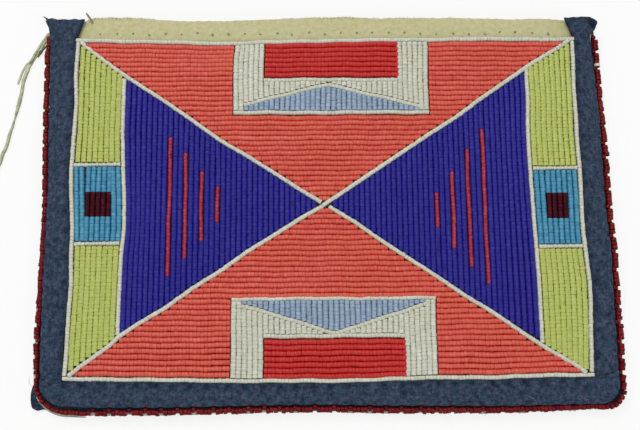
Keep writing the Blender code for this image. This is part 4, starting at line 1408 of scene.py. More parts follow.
@dataclass
class WoolBorder:
    """The wool cloth: two side strips, the bottom strip and the back, with their nap and frayed ends."""

    left_seam: Line = (
        (-0.0765, -0.1043), (-0.066, -0.1043), (-0.0614, -0.1048), (-0.054, -0.1051), (-0.03, -0.1056),
        (0.0, -0.1058), (0.008, -0.1059), (0.018, -0.1063), (0.034, -0.1071), (0.042, -0.1073),
        (0.059, -0.108), (0.067, -0.1083), (0.0705, -0.1085), (0.0734, -0.1089), (0.0745, -0.1096),
        (0.0758, -0.1098),
    )
    right_seam: Line = (
        (-0.0765, 0.1052), (-0.066, 0.1054), (-0.051, 0.1058), (-0.03, 0.1063), (-0.017, 0.1066),
        (-0.003, 0.1059), (0.011, 0.106), (0.019, 0.1061), (0.034, 0.1064), (0.046, 0.1061),
        (0.055, 0.1057), (0.0617, 0.1056), (0.0674, 0.1051), (0.0692, 0.1052), (0.0704, 0.1068),
        (0.0721, 0.1073), (0.0728, 0.1077), (0.0736, 0.1076), (0.0745, 0.1072),
    )
    bottom_seam: Line = (
        (-0.106, -0.0741), (-0.094, -0.0745), (-0.084, -0.0751), (-0.06, -0.0752), (-0.03, -0.0748),
        (-0.0045, -0.0746), (0.02, -0.0752), (0.065, -0.0757), (0.09, -0.0753), (0.106, -0.0752),
    )
    left_top: Line = (
        (0, 0.0727), (0.14, 0.0729), (0.32, 0.0733), (0.5, 0.0736), (0.69, 0.0745), (0.86, 0.0754),
        (1, 0.0753),
    )
    right_top: Line = (
        (0, 0.0727), (0.14, 0.073), (0.32, 0.0734), (0.5, 0.0739), (0.7, 0.0746), (0.82, 0.075),
        (0.94, 0.0748), (1, 0.0737),
    )
    left_join: Line = ((-0.104, -0.0647), (-0.1031, -0.0649), (-0.1008, -0.0665), (-0.0969, -0.0662))
    right_join: Line = ((0.0967, -0.0651), (0.1006, -0.0646), (0.1049, -0.0633))
    join: float = -0.065
    low: float = -0.0752
    top: float = 0.0736
    crease: float = -0.0001
    notch: float = 0.0003
    notch_reach: float = 0.0011
    dips: list[tuple[str, float, float]] = field(default_factory=list)
    stitch: float = 0.0093
    bottom_stitch: float = 0.0064
    first_stitch: float = 0.0444
    stitch_inset: float = 0.0012
    beside_beads: float = 0.00094
    corners: dict[int, float] = field(default_factory=lambda: {-1: 0.0088, 1: 0.0076})
    dice: random.Random = field(default_factory=lambda: random.Random(5))
    pieces: list[bpy.types.Object] = field(default_factory=list)

    def seam(self, side: int, y: Any) -> Any:
        """The x of a side seam at a height on the panel."""
        return along(self.left_seam if side < 0 else self.right_seam, y)

    def drawn_in(self, name: str, at: np.ndarray, axis: int) -> np.ndarray:
        """How far the stitches of the edge beading pull the cloth in.

        Args:
            name: The run of beading: left, bottom or right.
            at: Places along the edge.
            axis: 0 where they are measured across the purse, and 1 where along it.

        Returns:
            The pull at each place.
        """
        pull = np.zeros_like(at)
        for part, *spot in self.dips:
            if part == name:
                pull = np.maximum(pull, self.notch * np.exp(-(((at - spot[axis]) / self.notch_reach) ** 2)))
        return pull

    def inner(self, side: int, beadwork: Beadwork) -> Line:
        """The strip's inner edge, close beside the outline's beads.

        Args:
            side: -1 or 1.
            beadwork: The beads that it follows.

        Returns:
            Points of panel height and x.
        """
        edge = beadwork.left_edge if side < 0 else beadwork.right_edge
        v = np.linspace(-0.068, 0.078, 140)
        u = along(edge, v) + side * self.beside_beads
        slant = 0.35 if side < 0 else 0.38
        u = u - side * slant * np.clip(v - 0.0652, 0, None)
        x, y = SHAPE.drawn(u, v)
        return tuple(zip(y.tolist(), x.tolist()))

    def dents(
        self, x: np.ndarray, y: np.ndarray, spots: Iterable[Point], depth: float, reach: float
    ) -> np.ndarray:
        """Small round hollows where the stitches pull the cloth down.

        Args:
            x: Across.
            y: Along.
            spots: The stitches.
            depth: How deep each hollow is.
            reach: Its radius.

        Returns:
            The fall at each point.
        """
        fall = np.zeros_like(x)
        for spot_x, spot_y in spots:
            fall = fall + depth * np.exp(-((x - spot_x) ** 2 + (y - spot_y) ** 2) / reach**2)
        return fall

    def side_strip(self, label: str, side: int, beadwork: Beadwork) -> bpy.types.Object:
        """One side strip, from the bottom strip's seam to its raw end at the mouth.

        Args:
            label: Left or right.
            side: -1 or 1.
            beadwork: The beads that it follows.

        Returns:
            The strip.
        """
        inner = self.inner(side, beadwork)
        top = self.left_top if side < 0 else self.right_top
        join = self.left_join if side < 0 else self.right_join
        numbers = range(-11, 3)
        heights = [self.first_stitch + self.stitch * (n + self.dice.uniform(-0.08, 0.08)) for n in numbers]
        spots = [(float(along(inner, y)) + side * self.stitch_inset, y) for y in heights]
        inner_x, outer_x = float(along(inner, self.join)), float(self.seam(side, self.join))

        def spread(s: np.ndarray, t: np.ndarray) -> np.ndarray:
            """The strip's upper face."""
            q = s if side > 0 else 1 - s
            start = along(join, inner_x + (outer_x - inner_x) * q)
            y = start + (self.top - start) * t
            end = smooth((t - 0.93) / 0.07)
            y = y + end * (along(top, q) - self.top + 0.00012 * np.sin(q * 23 + 1.7))
            outer = self.seam(side, y) - side * self.drawn_in(label, y, 1)
            x = along(inner, y) + (outer - along(inner, y)) * q
            points = SHAPE.place(x, y, SHAPE.bead_base + SHAPE.wool)
            crown = 0.00045 * np.sin(np.pi * np.clip(q, 0, 1)) ** 0.6 - 0.0003 * smooth((q - 0.8) / 0.2)
            hollow = self.dents(x, y, spots, 0.0006, 0.0009)
            points[:, 2] += crown - hollow + self.rumpled(points) + end * 0.0009 * q
            return points

        strip = Cloth.lay(f"wool_border_{label}", 24, 160, spread, SHAPE.wool, 0.00035)
        # Painted shade: dark round the stitch dents, along the joins and beside the beads, and on the right strip
        # along its top edge and in its folded corner.
        marks = [(spot, 0.0012, 0.85) for spot in spots] + [((x, y), 0.0006, 0.6) for x, y in join]
        marks += [((x, y), 0.0012, 0.55) for y, x in inner]
        if side > 0:
            width = self.seam(1, self.top) - along(inner, self.top)
            shares = np.linspace(0, 1, 16)
            marks += [((along(inner, self.top) + width * q, along(top, q)), 0.0008, 0.9) for q in shares]
            marks += [((0.106, 0.0738), 0.0024, 1.0), ((0.1035, 0.0745), 0.0014, 0.9)]
        return self.darken(strip, marks)

    @staticmethod
    def darken(piece: bpy.types.Object, marks: Sequence[tuple[Point, float, float]]) -> bpy.types.Object:
        """Paints shade onto cloth round some places.

        Args:
            piece: The cloth.
            marks: For each place its panel position, its reach and its strength.

        Returns:
            The same piece.
        """
        places = Hands.points(piece)[:, :2] - (0, SHAPE.middle_y)
        amount = np.zeros(len(places))
        for spot, reach, strength in marks:
            away = np.sum((places - spot) ** 2, axis=1) / reach**2
            amount = np.maximum(amount, strength * np.exp(-away))
        return Hands.paint_shade(piece, amount)

    @staticmethod
    def rumpled(points: np.ndarray) -> np.ndarray:
        """Soft waves of two sizes in the cloth."""
        return Cloth.rumple(points, 150, 0.00028) + Cloth.rumple(points, 520, 0.00012, 4)

    def bottom_strip(self, beadwork: Beadwork) -> bpy.types.Object:
        """The strip along the bottom, with its two rounded corners.

        Args:
            beadwork: The beads that it follows.

        Returns:
            The strip.
        """
        u = np.linspace(-0.11, 0.11, 160)
        edge_x, edge_y = SHAPE.drawn(u, along(beadwork.bottom_edge, u) - self.beside_beads)
        edge = tuple(zip(edge_x.tolist(), edge_y.tolist()))
        columns = [-0.095 + self.bottom_stitch * (n + self.dice.uniform(-0.15, 0.15)) for n in range(30)]
        spots = [(x, float(along(edge, x)) - self.stitch_inset) for x in columns]
        left, right = float(self.seam(-1, self.join)), float(self.seam(1, self.join))
        middle, half = (left + right) / 2, (right - left) / 2
        beside = [spot for spot in edge if abs(spot[0]) < 0.0964]
        upper_line = sorted([*self.left_join, *beside, *self.right_join])

        def spread(s: np.ndarray, t: np.ndarray) -> np.ndarray:
            """The strip's upper face."""
            p = 2 * s - 1
            p = 0.6 * p + 0.4 * np.sin(np.pi / 2 * p)
            x = p * half
            upper = along(upper_line, x + middle) - self.crease
            y = self.low + (upper - self.low) * t
            for side, radius in self.corners.items():
                x, y = Cloth.round_off(x, y, half, self.low, radius, side)
            x = x + middle
            wander = along(self.bottom_seam, x) - self.low
            y = y + (wander + self.drawn_in("bottom", x, 0) * (np.abs(x) < 0.096)) * (1 - t)
            points = SHAPE.place(x, y, SHAPE.bead_base + SHAPE.wool)
            crown = 0.0004 * np.sin(np.pi * t) ** 0.6 - 0.0003 * smooth((0.2 - t) / 0.2)
            points[:, 2] += crown - self.dents(x, y, spots, 0.00055, 0.0009) + self.rumpled(points)
            return points

        strip = Cloth.lay("wool_border_bottom", 260, 16, spread, SHAPE.wool, 0.00035)
        # Painted shade: dark round the stitch dents, at the joins and beside the beads.
        marks = [(spot, 0.0013, 1.0) for spot in spots]
        marks += [(spot, 0.0006, 0.6) for spot in (*self.left_join, *self.right_join)]
        return self.darken(strip, marks + [(spot, 0.0009, 0.45) for spot in beside])

    def back(self) -> bpy.types.Object:
        """The back's cloth, flat on the table, its left corner poking out."""
        left_edge = (
            (-0.077, -0.1072), (-0.0743, -0.1077), (-0.072, -0.1082), (-0.0688, -0.1083),
            (-0.0655, -0.1072), (-0.03, -0.1066), (0.02, -0.1072), (0.0738, -0.1092),
        )
        right_edge = (
            (-0.077, 0.1079), (-0.0707, 0.1082), (-0.064, 0.108), (-0.02, 0.1082), (0.02, 0.108),
            (0.0738, 0.1078),
        )

        def spread(s: np.ndarray, t: np.ndarray) -> np.ndarray:
            """The cloth's upper face."""
            low, high, half = -0.0752, 0.0735, 0.107
            t = t**1.35
            x, y = (2 * s - 1) * half, low + (high - low) * t
            y = y - 0.0011 * smooth((0.101 - np.abs(x)) / 0.006) * (1 - smooth(t / 0.06))
            x, y = Cloth.round_off(x, y, half, low, 0.0016, -1)
            x, y = Cloth.round_off(x, y, half, low, 0.005, 1)
            reach = smooth((np.abs(x) - 0.07) / 0.037)
            x = x + reach * np.where(x < 0, along(left_edge, y) + half, along(right_edge, y) - half)
            y = y - 0.0005 * np.exp(-(((x + 0.106) / 0.0014) ** 2)) * (1 - smooth(t / 0.06))
            points = np.stack([x, y + SHAPE.middle_y, np.full_like(x, SHAPE.wool)], axis=-1)
            points[:, 2] += np.clip(Cloth.rumple(points, 120, 0.0001, 9), 0, None)
            points[:, 1] += smooth((t - 0.96) / 0.04) * Cloth.rumple(points, 300, 0.0003, 2)
            return points

        cloth = Cloth.lay("wool_back", 110, 46, spread, SHAPE.wool, 0.0003)
        # Painted shade darkens the left corner, where it pokes out under the beaded seam.
        return self.darken(cloth, [((-0.107, -0.0735), 0.0034, 0.8), ((-0.1065, -0.067), 0.003, 0.7)])

    def tip(self) -> bpy.types.Object:
        """The nubs at the top left corner, and the end folded over at the top right.

        Returns:
            Both in one piece.
        """
        ends = Strands(0.0016, 0.0011, 8)
        nub = ((0, 1.0), (0.35, 0.8), (0.7, 0.45), (1, 0.16))
        fold = ((0, 0.5), (0.25, 1.1), (0.65, 1.7), (0.85, 1.6), (1, 0.7))
        under = ((0, 0.6), (0.5, 1.5), (1, 0.8))
        lines = (
            (
                nub, (-0.107, 0.0751, 0.0074), (-0.1086, 0.0768, 0.0068), (-0.1099, 0.0781, 0.0063),
                (-0.1112, 0.0792, 0.006),
            ),
            (
                nub, (-0.1076, 0.0738, 0.007), (-0.1087, 0.0752, 0.0066), (-0.1096, 0.0764, 0.0063),
                (-0.1102, 0.0773, 0.0062),
            ),
            (
                fold, (0.0985, 0.0754, 0.0104), (0.1015, 0.0757, 0.0096), (0.1045, 0.0758, 0.0082),
                (0.1066, 0.0755, 0.0071),
            ),
            (under, (0.1035, 0.0746, 0.0086), (0.1056, 0.0747, 0.0078), (0.107, 0.0741, 0.0068)),
        )
        for swells, *line in lines:
            ends.add(smooth_line(line), swells)
        piece = ends.build("wool_ends")
        across = Hands.points(piece)[:, 0]
        # Painted shade: the folded end on the right is dark, darkest at its outer end; the nubs on the left are a
        # little darker.
        return Hands.paint_shade(piece, np.where(across > 0, 0.55 + 0.45 * smooth((across - 0.1025) / 0.002), 0.25))

    def build(self, beadwork: Beadwork) -> None:
        """Lays all the wool.

        Args:
            beadwork: The beads that it follows.
        """
        for label, side in (("left", -1), ("right", 1)):
            strip = self.side_strip(label, side, beadwork)
            self.pieces.append(fit(strip, Finish.WOOL, [f"wool_strip_{label}"]))
        self.pieces.append(fit(self.bottom_strip(beadwork), Finish.WOOL, ["wool_strip_bottom"]))
        self.pieces.append(fit(self.back(), Finish.WOOL, ["back_panel"]))
        self.pieces.append(fit(self.tip(), Finish.WOOL))


@dataclass
class HideFront:
    """The soft hide under the beads, whose edge shows along the mouth, with its stitches."""

    half: float = 0.1036
    low: float = -0.07355
    band: float = 0.0655
    hidden: float = 1 / 3
    covered: float = 0.0018
    lip: Line = (
        (-0.0922, 0.0727), (-0.0916, 0.0733), (-0.0876, 0.0734), (-0.0798, 0.0734), (-0.0681, 0.0728),
        (-0.0565, 0.0719), (-0.041, 0.0719), (-0.0255, 0.0725), (-0.0099, 0.0729), (0.0057, 0.0733),
        (0.0212, 0.0728), (0.0368, 0.0729), (0.0525, 0.0728), (0.0681, 0.0725), (0.0798, 0.0724),
        (0.0919, 0.0726),
    )
    stitch_y: float = 0.0666
    stitch: float = 0.0062
    first_stitch: float = -0.0873

    def spread(self, s: np.ndarray, t: np.ndarray) -> np.ndarray:
        """The hide's upper face."""
        x = (2 * s - 1) * self.half
        lip = along(self.lip, x * 1.022)
        under = self.low + (self.band - self.low) * smooth(t / self.hidden)
        over = self.band + (lip - self.band) * (t - self.hidden) / (1 - self.hidden)
        y = np.where(t < self.hidden, under, over)
        for side in (-1, 1):
            x, y = Cloth.round_off(x, y, self.half, self.low, 0.0072, side)
        x = x * (1 + 0.022 * np.clip((y + 0.066) / 0.14, 0, 1))
        points = SHAPE.place(x, y, SHAPE.wool + SHAPE.gap + SHAPE.hide)
        loose = smooth((y - self.band) / 0.003)
        points[:, 2] += loose * (Cloth.rumple(points, 90, 0.0004, 3) + Cloth.rumple(points, 400, 0.00012, 6))
        points[:, 1] += smooth((t - 0.852) / 0.148) * Cloth.rumple(points, 700, 0.0003, 1)
        return points

    def build(self, beadwork: Beadwork) -> bpy.types.Object:
        """Lays the hide and its stitches.

        Args:
            beadwork: The beads that cover its lower part.

        Returns:
            The hide.
        """
        hide = Cloth.lay("hide_front", 150, 54, self.spread, SHAPE.hide, 0.0003)
        places = Hands.points(hide)
        # Painted shade: the hide is darkened under the beads, where it shows between them.
        covered = SHAPE.middle_y + along(beadwork.top_edge, places[:, 0]) - self.covered
        clear = smooth((places[:, 1] - covered) / 0.0006)
        Hands.paint_shade(hide, 0.85 * (1 - clear) * (np.abs(places[:, 0]) < 0.0975))
        fit(hide, Finish.HIDE, ["front_panel"])
        self.sew()
        return hide

    def sew(self) -> None:
        """The row of small stitches above the beads, and the thread's end at the left."""
        dice = random.Random(3)
        seam = Strands(0.001, 0.0003, 8)
        for start in np.arange(self.first_stitch, -self.first_stitch, self.stitch):
            start = start + dice.uniform(-0.0004, 0.0004)
            height = self.stitch_y + dice.uniform(-0.0002, 0.0002)
            run, fall = dice.uniform(0.0003, 0.0007), dice.choice((-1, 1)) * dice.uniform(0.0003, 0.0008)
            heights = np.array([height, height + fall])
            line = SHAPE.place(np.array([start, start + run]), heights, SHAPE.bead_base - SHAPE.gap + 0.0001)
            seam.add(line, ((0, dice.uniform(0.5, 0.9)), (1, dice.uniform(0.4, 0.9))))
        tail = (
            (-0.0903, 0.0734, 0.0122), (-0.091, 0.0746, 0.013), (-0.0917, 0.0755, 0.0133),
            (-0.0924, 0.0765, 0.0134), (-0.0928, 0.0771, 0.0132),
        )
        seam.add(smooth_line(tail), ((0, 0.66), (0.5, 0.87), (0.85, 0.72), (1, 0.42)))
        fit(seam.build("hide_stitches"), Finish.SINEW)


@dataclass
class EdgeBeading:
    """Small dark red beads sewn over the seam: three or four in a line, then a dip with one drawn in."""

    diameter: float = 0.00235
    length: float = 0.00138
    dip: float = 0.00156
    outer: float = 0.00134
    height: float = 0.0034
    inner: float = 0.00085
    low: float = 0.0035
    squarer: dict[int, float] = field(default_factory=lambda: {-1: 1.15, 1: 0.68})
    left_top: float = 0.0694
    right_top: float = 0.0702
    bottom_out: Line = (
        (-0.104, 0.0006), (-0.1, 0.0007), (-0.09, 0.0006), (-0.08, 0.0005), (-0.07, 0.0003), (0.05, 0.0001),
        (0.07, -0.0002), (0.085, -0.0005), (0.092, -0.0006), (0.098, -0.0006), (0.1025, -0.0003),
        (0.1045, 0.0002), (0.1052, 0.0005),
    )
    left_out: Line = (
        (-0.066, 0.0003), (-0.05, 0.0003), (-0.036, -0.0003), (-0.02, -0.0005), (0.0, -0.0006),
        (0.01, -0.0001), (0.06, -0.0001), (0.0665, -0.0005), (0.0694, -0.0009),
    )
    right_out: Line = (
        (-0.07, 0.0006), (-0.05, 0.0006), (-0.04, 0.0002), (0.0, 0.0004), (0.02, 0.0004), (0.034, -0.0001),
        (0.046, 0.0), (0.06, 0.0005), (0.0663, 0.0008), (0.0702, -0.0005),
    )
    bottom_swell: Line = ((-0.104, 0.72), (-0.09, 0.78), (-0.075, 0.95), (0.08, 1), (0.095, 0.88))
    left_swell: Line = ((-0.066, 0.74), (-0.052, 0.95), (-0.04, 1))
    pale_places: Line = ((0.0019, 0.0034), (0.0023, 0.003), (0.0026, 0.0024))
    dark_places: Line = ((0.0018, 0.0031), (0.0021, 0.0025))
    pale_bead: float = 0.0561
    dice: random.Random = field(default_factory=lambda: random.Random(21))
    line: np.ndarray = field(default_factory=lambda: np.zeros((0, 2)))
    reach: np.ndarray = field(default_factory=lambda: np.zeros(0))
    runs: dict[str, BeadRun] = field(
        default_factory=lambda: {name: BeadRun() for name in ("left", "bottom", "right", "pale")}
    )
    pale: Strands = field(default_factory=lambda: Strands(0.0005, 0.00042, 8))
    dark: Strands = field(default_factory=lambda: Strands(0.00042, 0.00036, 8))

    def follow(self, wool: WoolBorder) -> None:
        """Traces the seam, from the top of the left side round the bottom to the top of the right.

        Args:
            wool: The cloth whose edge it follows.
        """
        line: list[Point] = []
        for side, top, start in ((-1, self.left_top, 180), (1, self.right_top, 270)):
            corner = wool.corners[side] * self.squarer[side]
            turn = wool.low + corner
            middle_x = float(wool.seam(side, turn)) - side * corner
            upright = [(float(wool.seam(side, y)), y) for y in np.linspace(top, turn, 90)]
            if side < 0:
                line += upright
            else:
                xs = np.linspace(line[-1][0], middle_x, 90)[1:-1]
                line += [(x, float(along(wool.bottom_seam, x))) for x in xs]
            for angle in np.radians(np.linspace(start, start + 90, 14)):
                x = middle_x + corner * math.cos(angle)
                y = turn + corner * math.sin(angle)
                fall = (turn - y) / corner
                line.append((x, y + fall * (float(along(wool.bottom_seam, x)) - wool.low)))
            if side > 0:
                line += upright[::-1]
        self.line = np.array(line)
        self.reach = reach_along(self.line)

    def at(self, place: float, out: float, high: float) -> tuple[np.ndarray, np.ndarray, np.ndarray]:
        """A place beside the seam.

        Args:
            place: How far along the seam.
            out: How far outside it.
            high: Its height.

        Returns:
            The point, the seam's direction there and its way out.
        """
        steps = (place - 0.0006, place, place + 0.0006)
        spots = [np.array([np.interp(p, self.reach, self.line[:, k]) for k in (0, 1)]) for p in steps]
        ahead = np.append(spots[2] - spots[0], 0.0)
        ahead /= np.linalg.norm(ahead)
        away = np.cross(ahead, (0.0, 0.0, 1.0))
        return np.append(spots[1] + (0, SHAPE.middle_y), high) + away * out, ahead, away

    @staticmethod
    def part(spot: np.ndarray) -> str:
        """Which of the three runs of beading a point belongs to."""
        if spot[1] < -0.0644:
            return "bottom"
        return "left" if spot[0] < 0 else "right"

    def sew(self, run: BeadRun, place: float, out: float, high: float, diameter: float, tone: float) -> None:
        """Sews on one bead.

        Args:
            run: The beads that it joins.
            place: How far along the seam.
            out: How far outside it.
            high: Its height.
            diameter: Its usual diameter.
            tone: How pale such beads usually are.
        """
        gauss = self.dice.gauss
        spot = (place + gauss(0, 0.00005), out + gauss(0, 0.0001), high + gauss(0, 0.0001))
        middle, ahead, away = self.at(*spot)
        ahead = ahead + away * gauss(0, 0.09) + np.array([0, 0, gauss(0, 0.07)])
        wide = diameter * gauss(1, 0.03)
        tone = min(1.0, max(0.0, gauss(tone, 0.16)))
        run.add(middle, ahead, np.array([0.0, 0.0, 1.0]), np.array([self.length / 0.69, wide, wide]), tone)

    def outside(self, spot: np.ndarray) -> float:
        """How far outside the seam the beads lie at a point of it."""
        name, y = self.part(spot), spot[1] - SHAPE.middle_y
        if name == "bottom":
            return self.outer + float(along(self.bottom_out, spot[0]))
        if name == "left":
            return self.outer + float(along(self.left_out, y))
        return self.outer + float(along(self.right_out, y))

    def swell(self, spot: np.ndarray) -> float:
        """How thick the beads are at a point of the seam, beside the usual."""
        name, y = self.part(spot), spot[1] - SHAPE.middle_y
        if name == "bottom":
            return float(along(self.bottom_swell, spot[0]))
        return float(along(self.left_swell, y)) if name == "left" else 1.0

    def filled(self, spot: np.ndarray) -> tuple[float, float]:
        """How often a dip holds a bead, and how often pale thread, at a point of the seam."""
        name, y = self.part(spot), spot[1] - SHAPE.middle_y
        if name == "bottom":
            return 1.0, 0.85 * float(abs(spot[0]) < 0.094)
        if name == "left":
            return (0.97, 0.0) if y > -0.03 else (0.85, 0.25 + 0.75 * float(y < -0.045))
        return 0.97, 0.15 * float(y < 0.03)

    def lay(self, wool: WoolBorder) -> None:
        """Plans every bead and thread, and tells the cloth where its edge is drawn in.

        Args:
            wool: The cloth whose edge it follows.
        """
        self.follow(wool)
        place = self.length / 2
        while place < self.reach[-1]:
            for _ in range(self.dice.choice((3, 3, 3, 4, 4))):
                if place > self.reach[-1]:
                    break
                spot = self.at(place, 0, 0)[0]
                name = self.part(spot)
                above = spot[1] - SHAPE.middle_y > self.pale_bead
                odd = name == "right" and above and not self.runs["pale"].middles
                wide = self.diameter * self.swell(spot)
                self.sew(self.runs["pale" if odd else name], place, self.outside(spot), self.height, wide, 0.55)
                place += self.length
            spot = self.at(place, 0, 0)[0]
            if spot[1] < -0.062 and not -0.086 < spot[0] < 0.095:
                continue
            middle = place + self.dip / 2 - self.length / 2
            place += self.dip * self.dice.uniform(0.85, 1.1)
            if middle > self.reach[-1] - self.dip:
                continue
            spot = self.at(middle, 0, 0)[0]
            name = self.part(spot)
            beaded, bundled = self.filled(spot)
            if self.dice.random() < beaded:
                wide = self.diameter * 0.92 * self.swell(spot)
                # The drawn-in bead takes a dark tone as painted shade.
                self.sew(self.runs[name], middle, self.inner, self.low, wide, 0.15)
            wool.dips.append((name, float(spot[0]), float(spot[1] - SHAPE.middle_y)))
            pale = self.dice.random() < bundled
            offsets = self.pale_places if pale else self.dark_places
            moved = min(0.0, self.outside(spot) - self.outer)
            for out, high in offsets[: self.dice.choice((2, 3))]:
                steps = (-0.00125, -0.0006, 0.0, 0.0006, 0.00125)
                bows = [(step, out + moved - 0.00022 * math.cos(step * 1200)) for step in steps]
                line = [self.at(middle + step, bowed, high)[0] for step, bowed in bows]
                (self.pale if pale else self.dark).add(line, ((0, 0.8), (0.5, 1), (1, 0.8)))
        spots = zip(self.reach, self.line)
        corner = [p for p, spot in spots if -0.1035 < spot[0] < -0.086 and spot[1] < -0.069]
        for out, high in ((0.0029, 0.0022), (0.0033, 0.0014)):
            self.pale.add([self.at(place, out, high)[0] for place in corner], ((0, 0.6), (0.5, 1.3), (1, 0.6)))

    def build(self, bead: SeedBead) -> None:
        """Makes the planned beads and thread.

        Args:
            bead: The bead that is copied.
        """
        for name in ("left", "bottom", "right"):
            fit(self.runs[name].build(f"edge_beads_{name}", bead), Finish.EDGE, [f"edge_beading_{name}"])
        fit(self.runs["pale"].build("edge_bead_pale", bead), Finish.WHITE)
        fit(self.pale.build("edge_thread_pale"), Finish.THREAD)
        fit(self.dark.build("edge_thread_dark"), Finish.SINEW)


@dataclass
class Zip:
    """The zip in the mouth: teeth on their cords, tapes, slider, pull and stops."""

    y: float = 0.06895
    z: float = 0.0059
    half: float = 0.0863
    pitch: float = 0.0018
    tooth: float = 0.00072
    deep: float = 0.0016
    lap: float = 0.0004
    cord: float = 0.0011
    cord_width: float = 0.0005
    closed: float = -0.082
    slider: float = 0.0086
    spread: float = 0.0009
    spread_length: float = 0.0052
    tape: float = 0.0004
    fall: float = 0.012
    nodes: dict[str, bpy.types.Object] = field(default_factory=dict)

    def apart(self, x: Any) -> Any:
        """How far each row stands off its closed place."""
        start = self.closed + self.slider / 2 - SHAPE.gap
        return self.spread * smooth((start - x) / self.spread_length)

    def one_tooth(self) -> tuple[np.ndarray, np.ndarray]:
        """One tooth, from its clamped foot to its rounded head.

        Returns:
            Its points, with its foot upwards from the middle line, and its triangles.
        """
        Hands.clear()
        bpy.ops.mesh.primitive_cube_add(size=1, location=(0, 0, 0))
        block = bpy.context.active_object
        places = Hands.points(block)
        high = self.cord + self.cord_width + 0.00005
        places = places * (self.tooth, self.deep, high + self.lap) + (0, 0, (high - self.lap) / 2)
        Hands.move(block, places)
        neck_height = self.cord * 0.55
        Hands.edit(block, (bpy.ops.mesh.bisect, {"plane_co": (0, 0, neck_height), "plane_no": (0, 0, 1)}))
        places = Hands.points(block)
        neck = np.abs(places[:, 2] - neck_height) < 1e-6
        places[neck, 0] *= 0.62
        Hands.move(block, places)
        Hands.finish(block, ("BEVEL", {"width": 0.0001, "segments": 1}), ("TRIANGULATE", {}))
        points = Hands.points(block)
        faces = np.array([tuple(face.vertices) for face in block.data.polygons])
        bpy.data.objects.remove(block)
        return points, faces

    def rows(self) -> None:
        """Both rows of teeth, each clamped on its cord."""
        points, faces = self.one_tooth()
        count = int(2 * self.half / self.pitch) - 1
        for name, side in (("front", 1), ("back", -1)):
            first = -self.half + self.pitch * (0.6 if side > 0 else 1.1)
            xs = first + self.pitch * np.arange(count)
            across = np.full(count, self.y + SHAPE.middle_y)
            middles = np.stack([xs, across, self.z + side * self.apart(xs)], axis=-1)
            turned = points * (1, 1, side)
            places = (turned[None] + middles[:, None]).reshape(-1, 3)
            chain = Hands.mesh(f"zip_chain_{name}", places, Hands.repeated(faces, count, len(points)))
            fit(Hands.finish(chain), Finish.BRASS, [f"zip_teeth_{name}"])
            cord = Strands(self.cord_width * 1.1, 0.0011, 8)
            line = np.linspace(-self.half, self.half, 90)
            height = self.z + side * (self.cord + self.cord_width / 2 + self.apart(line))
            route = np.stack([line, np.full(90, self.y + SHAPE.middle_y), height], axis=-1)
            cord.add(route, turns=((0, 90), (1, 90)))
            fit(cord.build(f"zip_cord_{name}"), Finish.TAPE)

    def wall(self, x: Any, y: Any, side: int) -> Any:
        """The height of a tape where it lies along the cloth."""
        inner = SHAPE.wool + SHAPE.gap + SHAPE.lift(x, y) if side > 0 else SHAPE.wool
        return inner - side * (SHAPE.gap + self.tape / 2)

    def tapes(self) -> None:
        """Both tapes, bent where they meet the cloth."""
        for name, side in (("front", 1), ("back", -1)):

            def spread(s: np.ndarray, t: np.ndarray, side: int = side) -> np.ndarray:
                """The tape's middle face."""
                x = (2 * s - 1) * (self.half + 0.0055)
                root = self.z + side * (self.cord + self.cord_width + SHAPE.gap + self.apart(x))
                bend = self.wall(x, self.y, side) - side * 0.0003
                level = t < 0.3
                down = np.clip((t - 0.3) / 0.7, 0, 1)
                y = self.y - self.fall * down
                z = np.where(level, root + (bend - root) * t / 0.3, self.wall(x, y, side))
                flip = -1 if side > 0 else 1
                return np.stack([flip * x, y + SHAPE.middle_y, z], axis=-1)

            piece = Hands.grid(f"zip_band_{name}", 90, 14)
            places = Hands.points(piece)
            Hands.move(piece, spread(places[:, 0] + 0.5, places[:, 1] + 0.5))
            Hands.finish(piece, ("SOLIDIFY", {"thickness": self.tape, "offset": 0}))
            fit(piece, Finish.TAPE, [f"zip_tape_{name}"])

    def metal(self, node: str, name: str, body: str, width: float) -> None:
        """A cast metal piece: the solid with its edges rounded.

        Args:
            node: The solid.
            name: The new piece's name.
            body: The body that it moves with.
            width: How far its edges are rounded.
        """
        piece = Hands.edit(
            Hands.link(name, self.nodes[node].data.copy()),
            (bpy.ops.mesh.remove_doubles, {"threshold": 0.000001}),
            (bpy.ops.mesh.dissolve_limited, {"angle_limit": math.radians(2)}),
        )
        edge = {"width": width, "segments": 2, "limit_method": "ANGLE", "angle_limit": math.radians(35)}
        Hands.finish(piece, ("BEVEL", edge))
        fit(piece, Finish.BRASS, [node], body)

    def build(self) -> None:
        """Makes every piece of the zip."""
        self.rows()
        self.tapes()
        self.metal("zip_slider", "zip_slider_cast", "slider", 0.00012)
        self.metal("zip_pull", "zip_pull_cast", "pull", 0.00016)
        for stop in ("zip_bottom_stop", "zip_top_stop_back", "zip_top_stop_front"):
            self.metal(stop, f"{stop}_pressed", "purse", 0.00012)


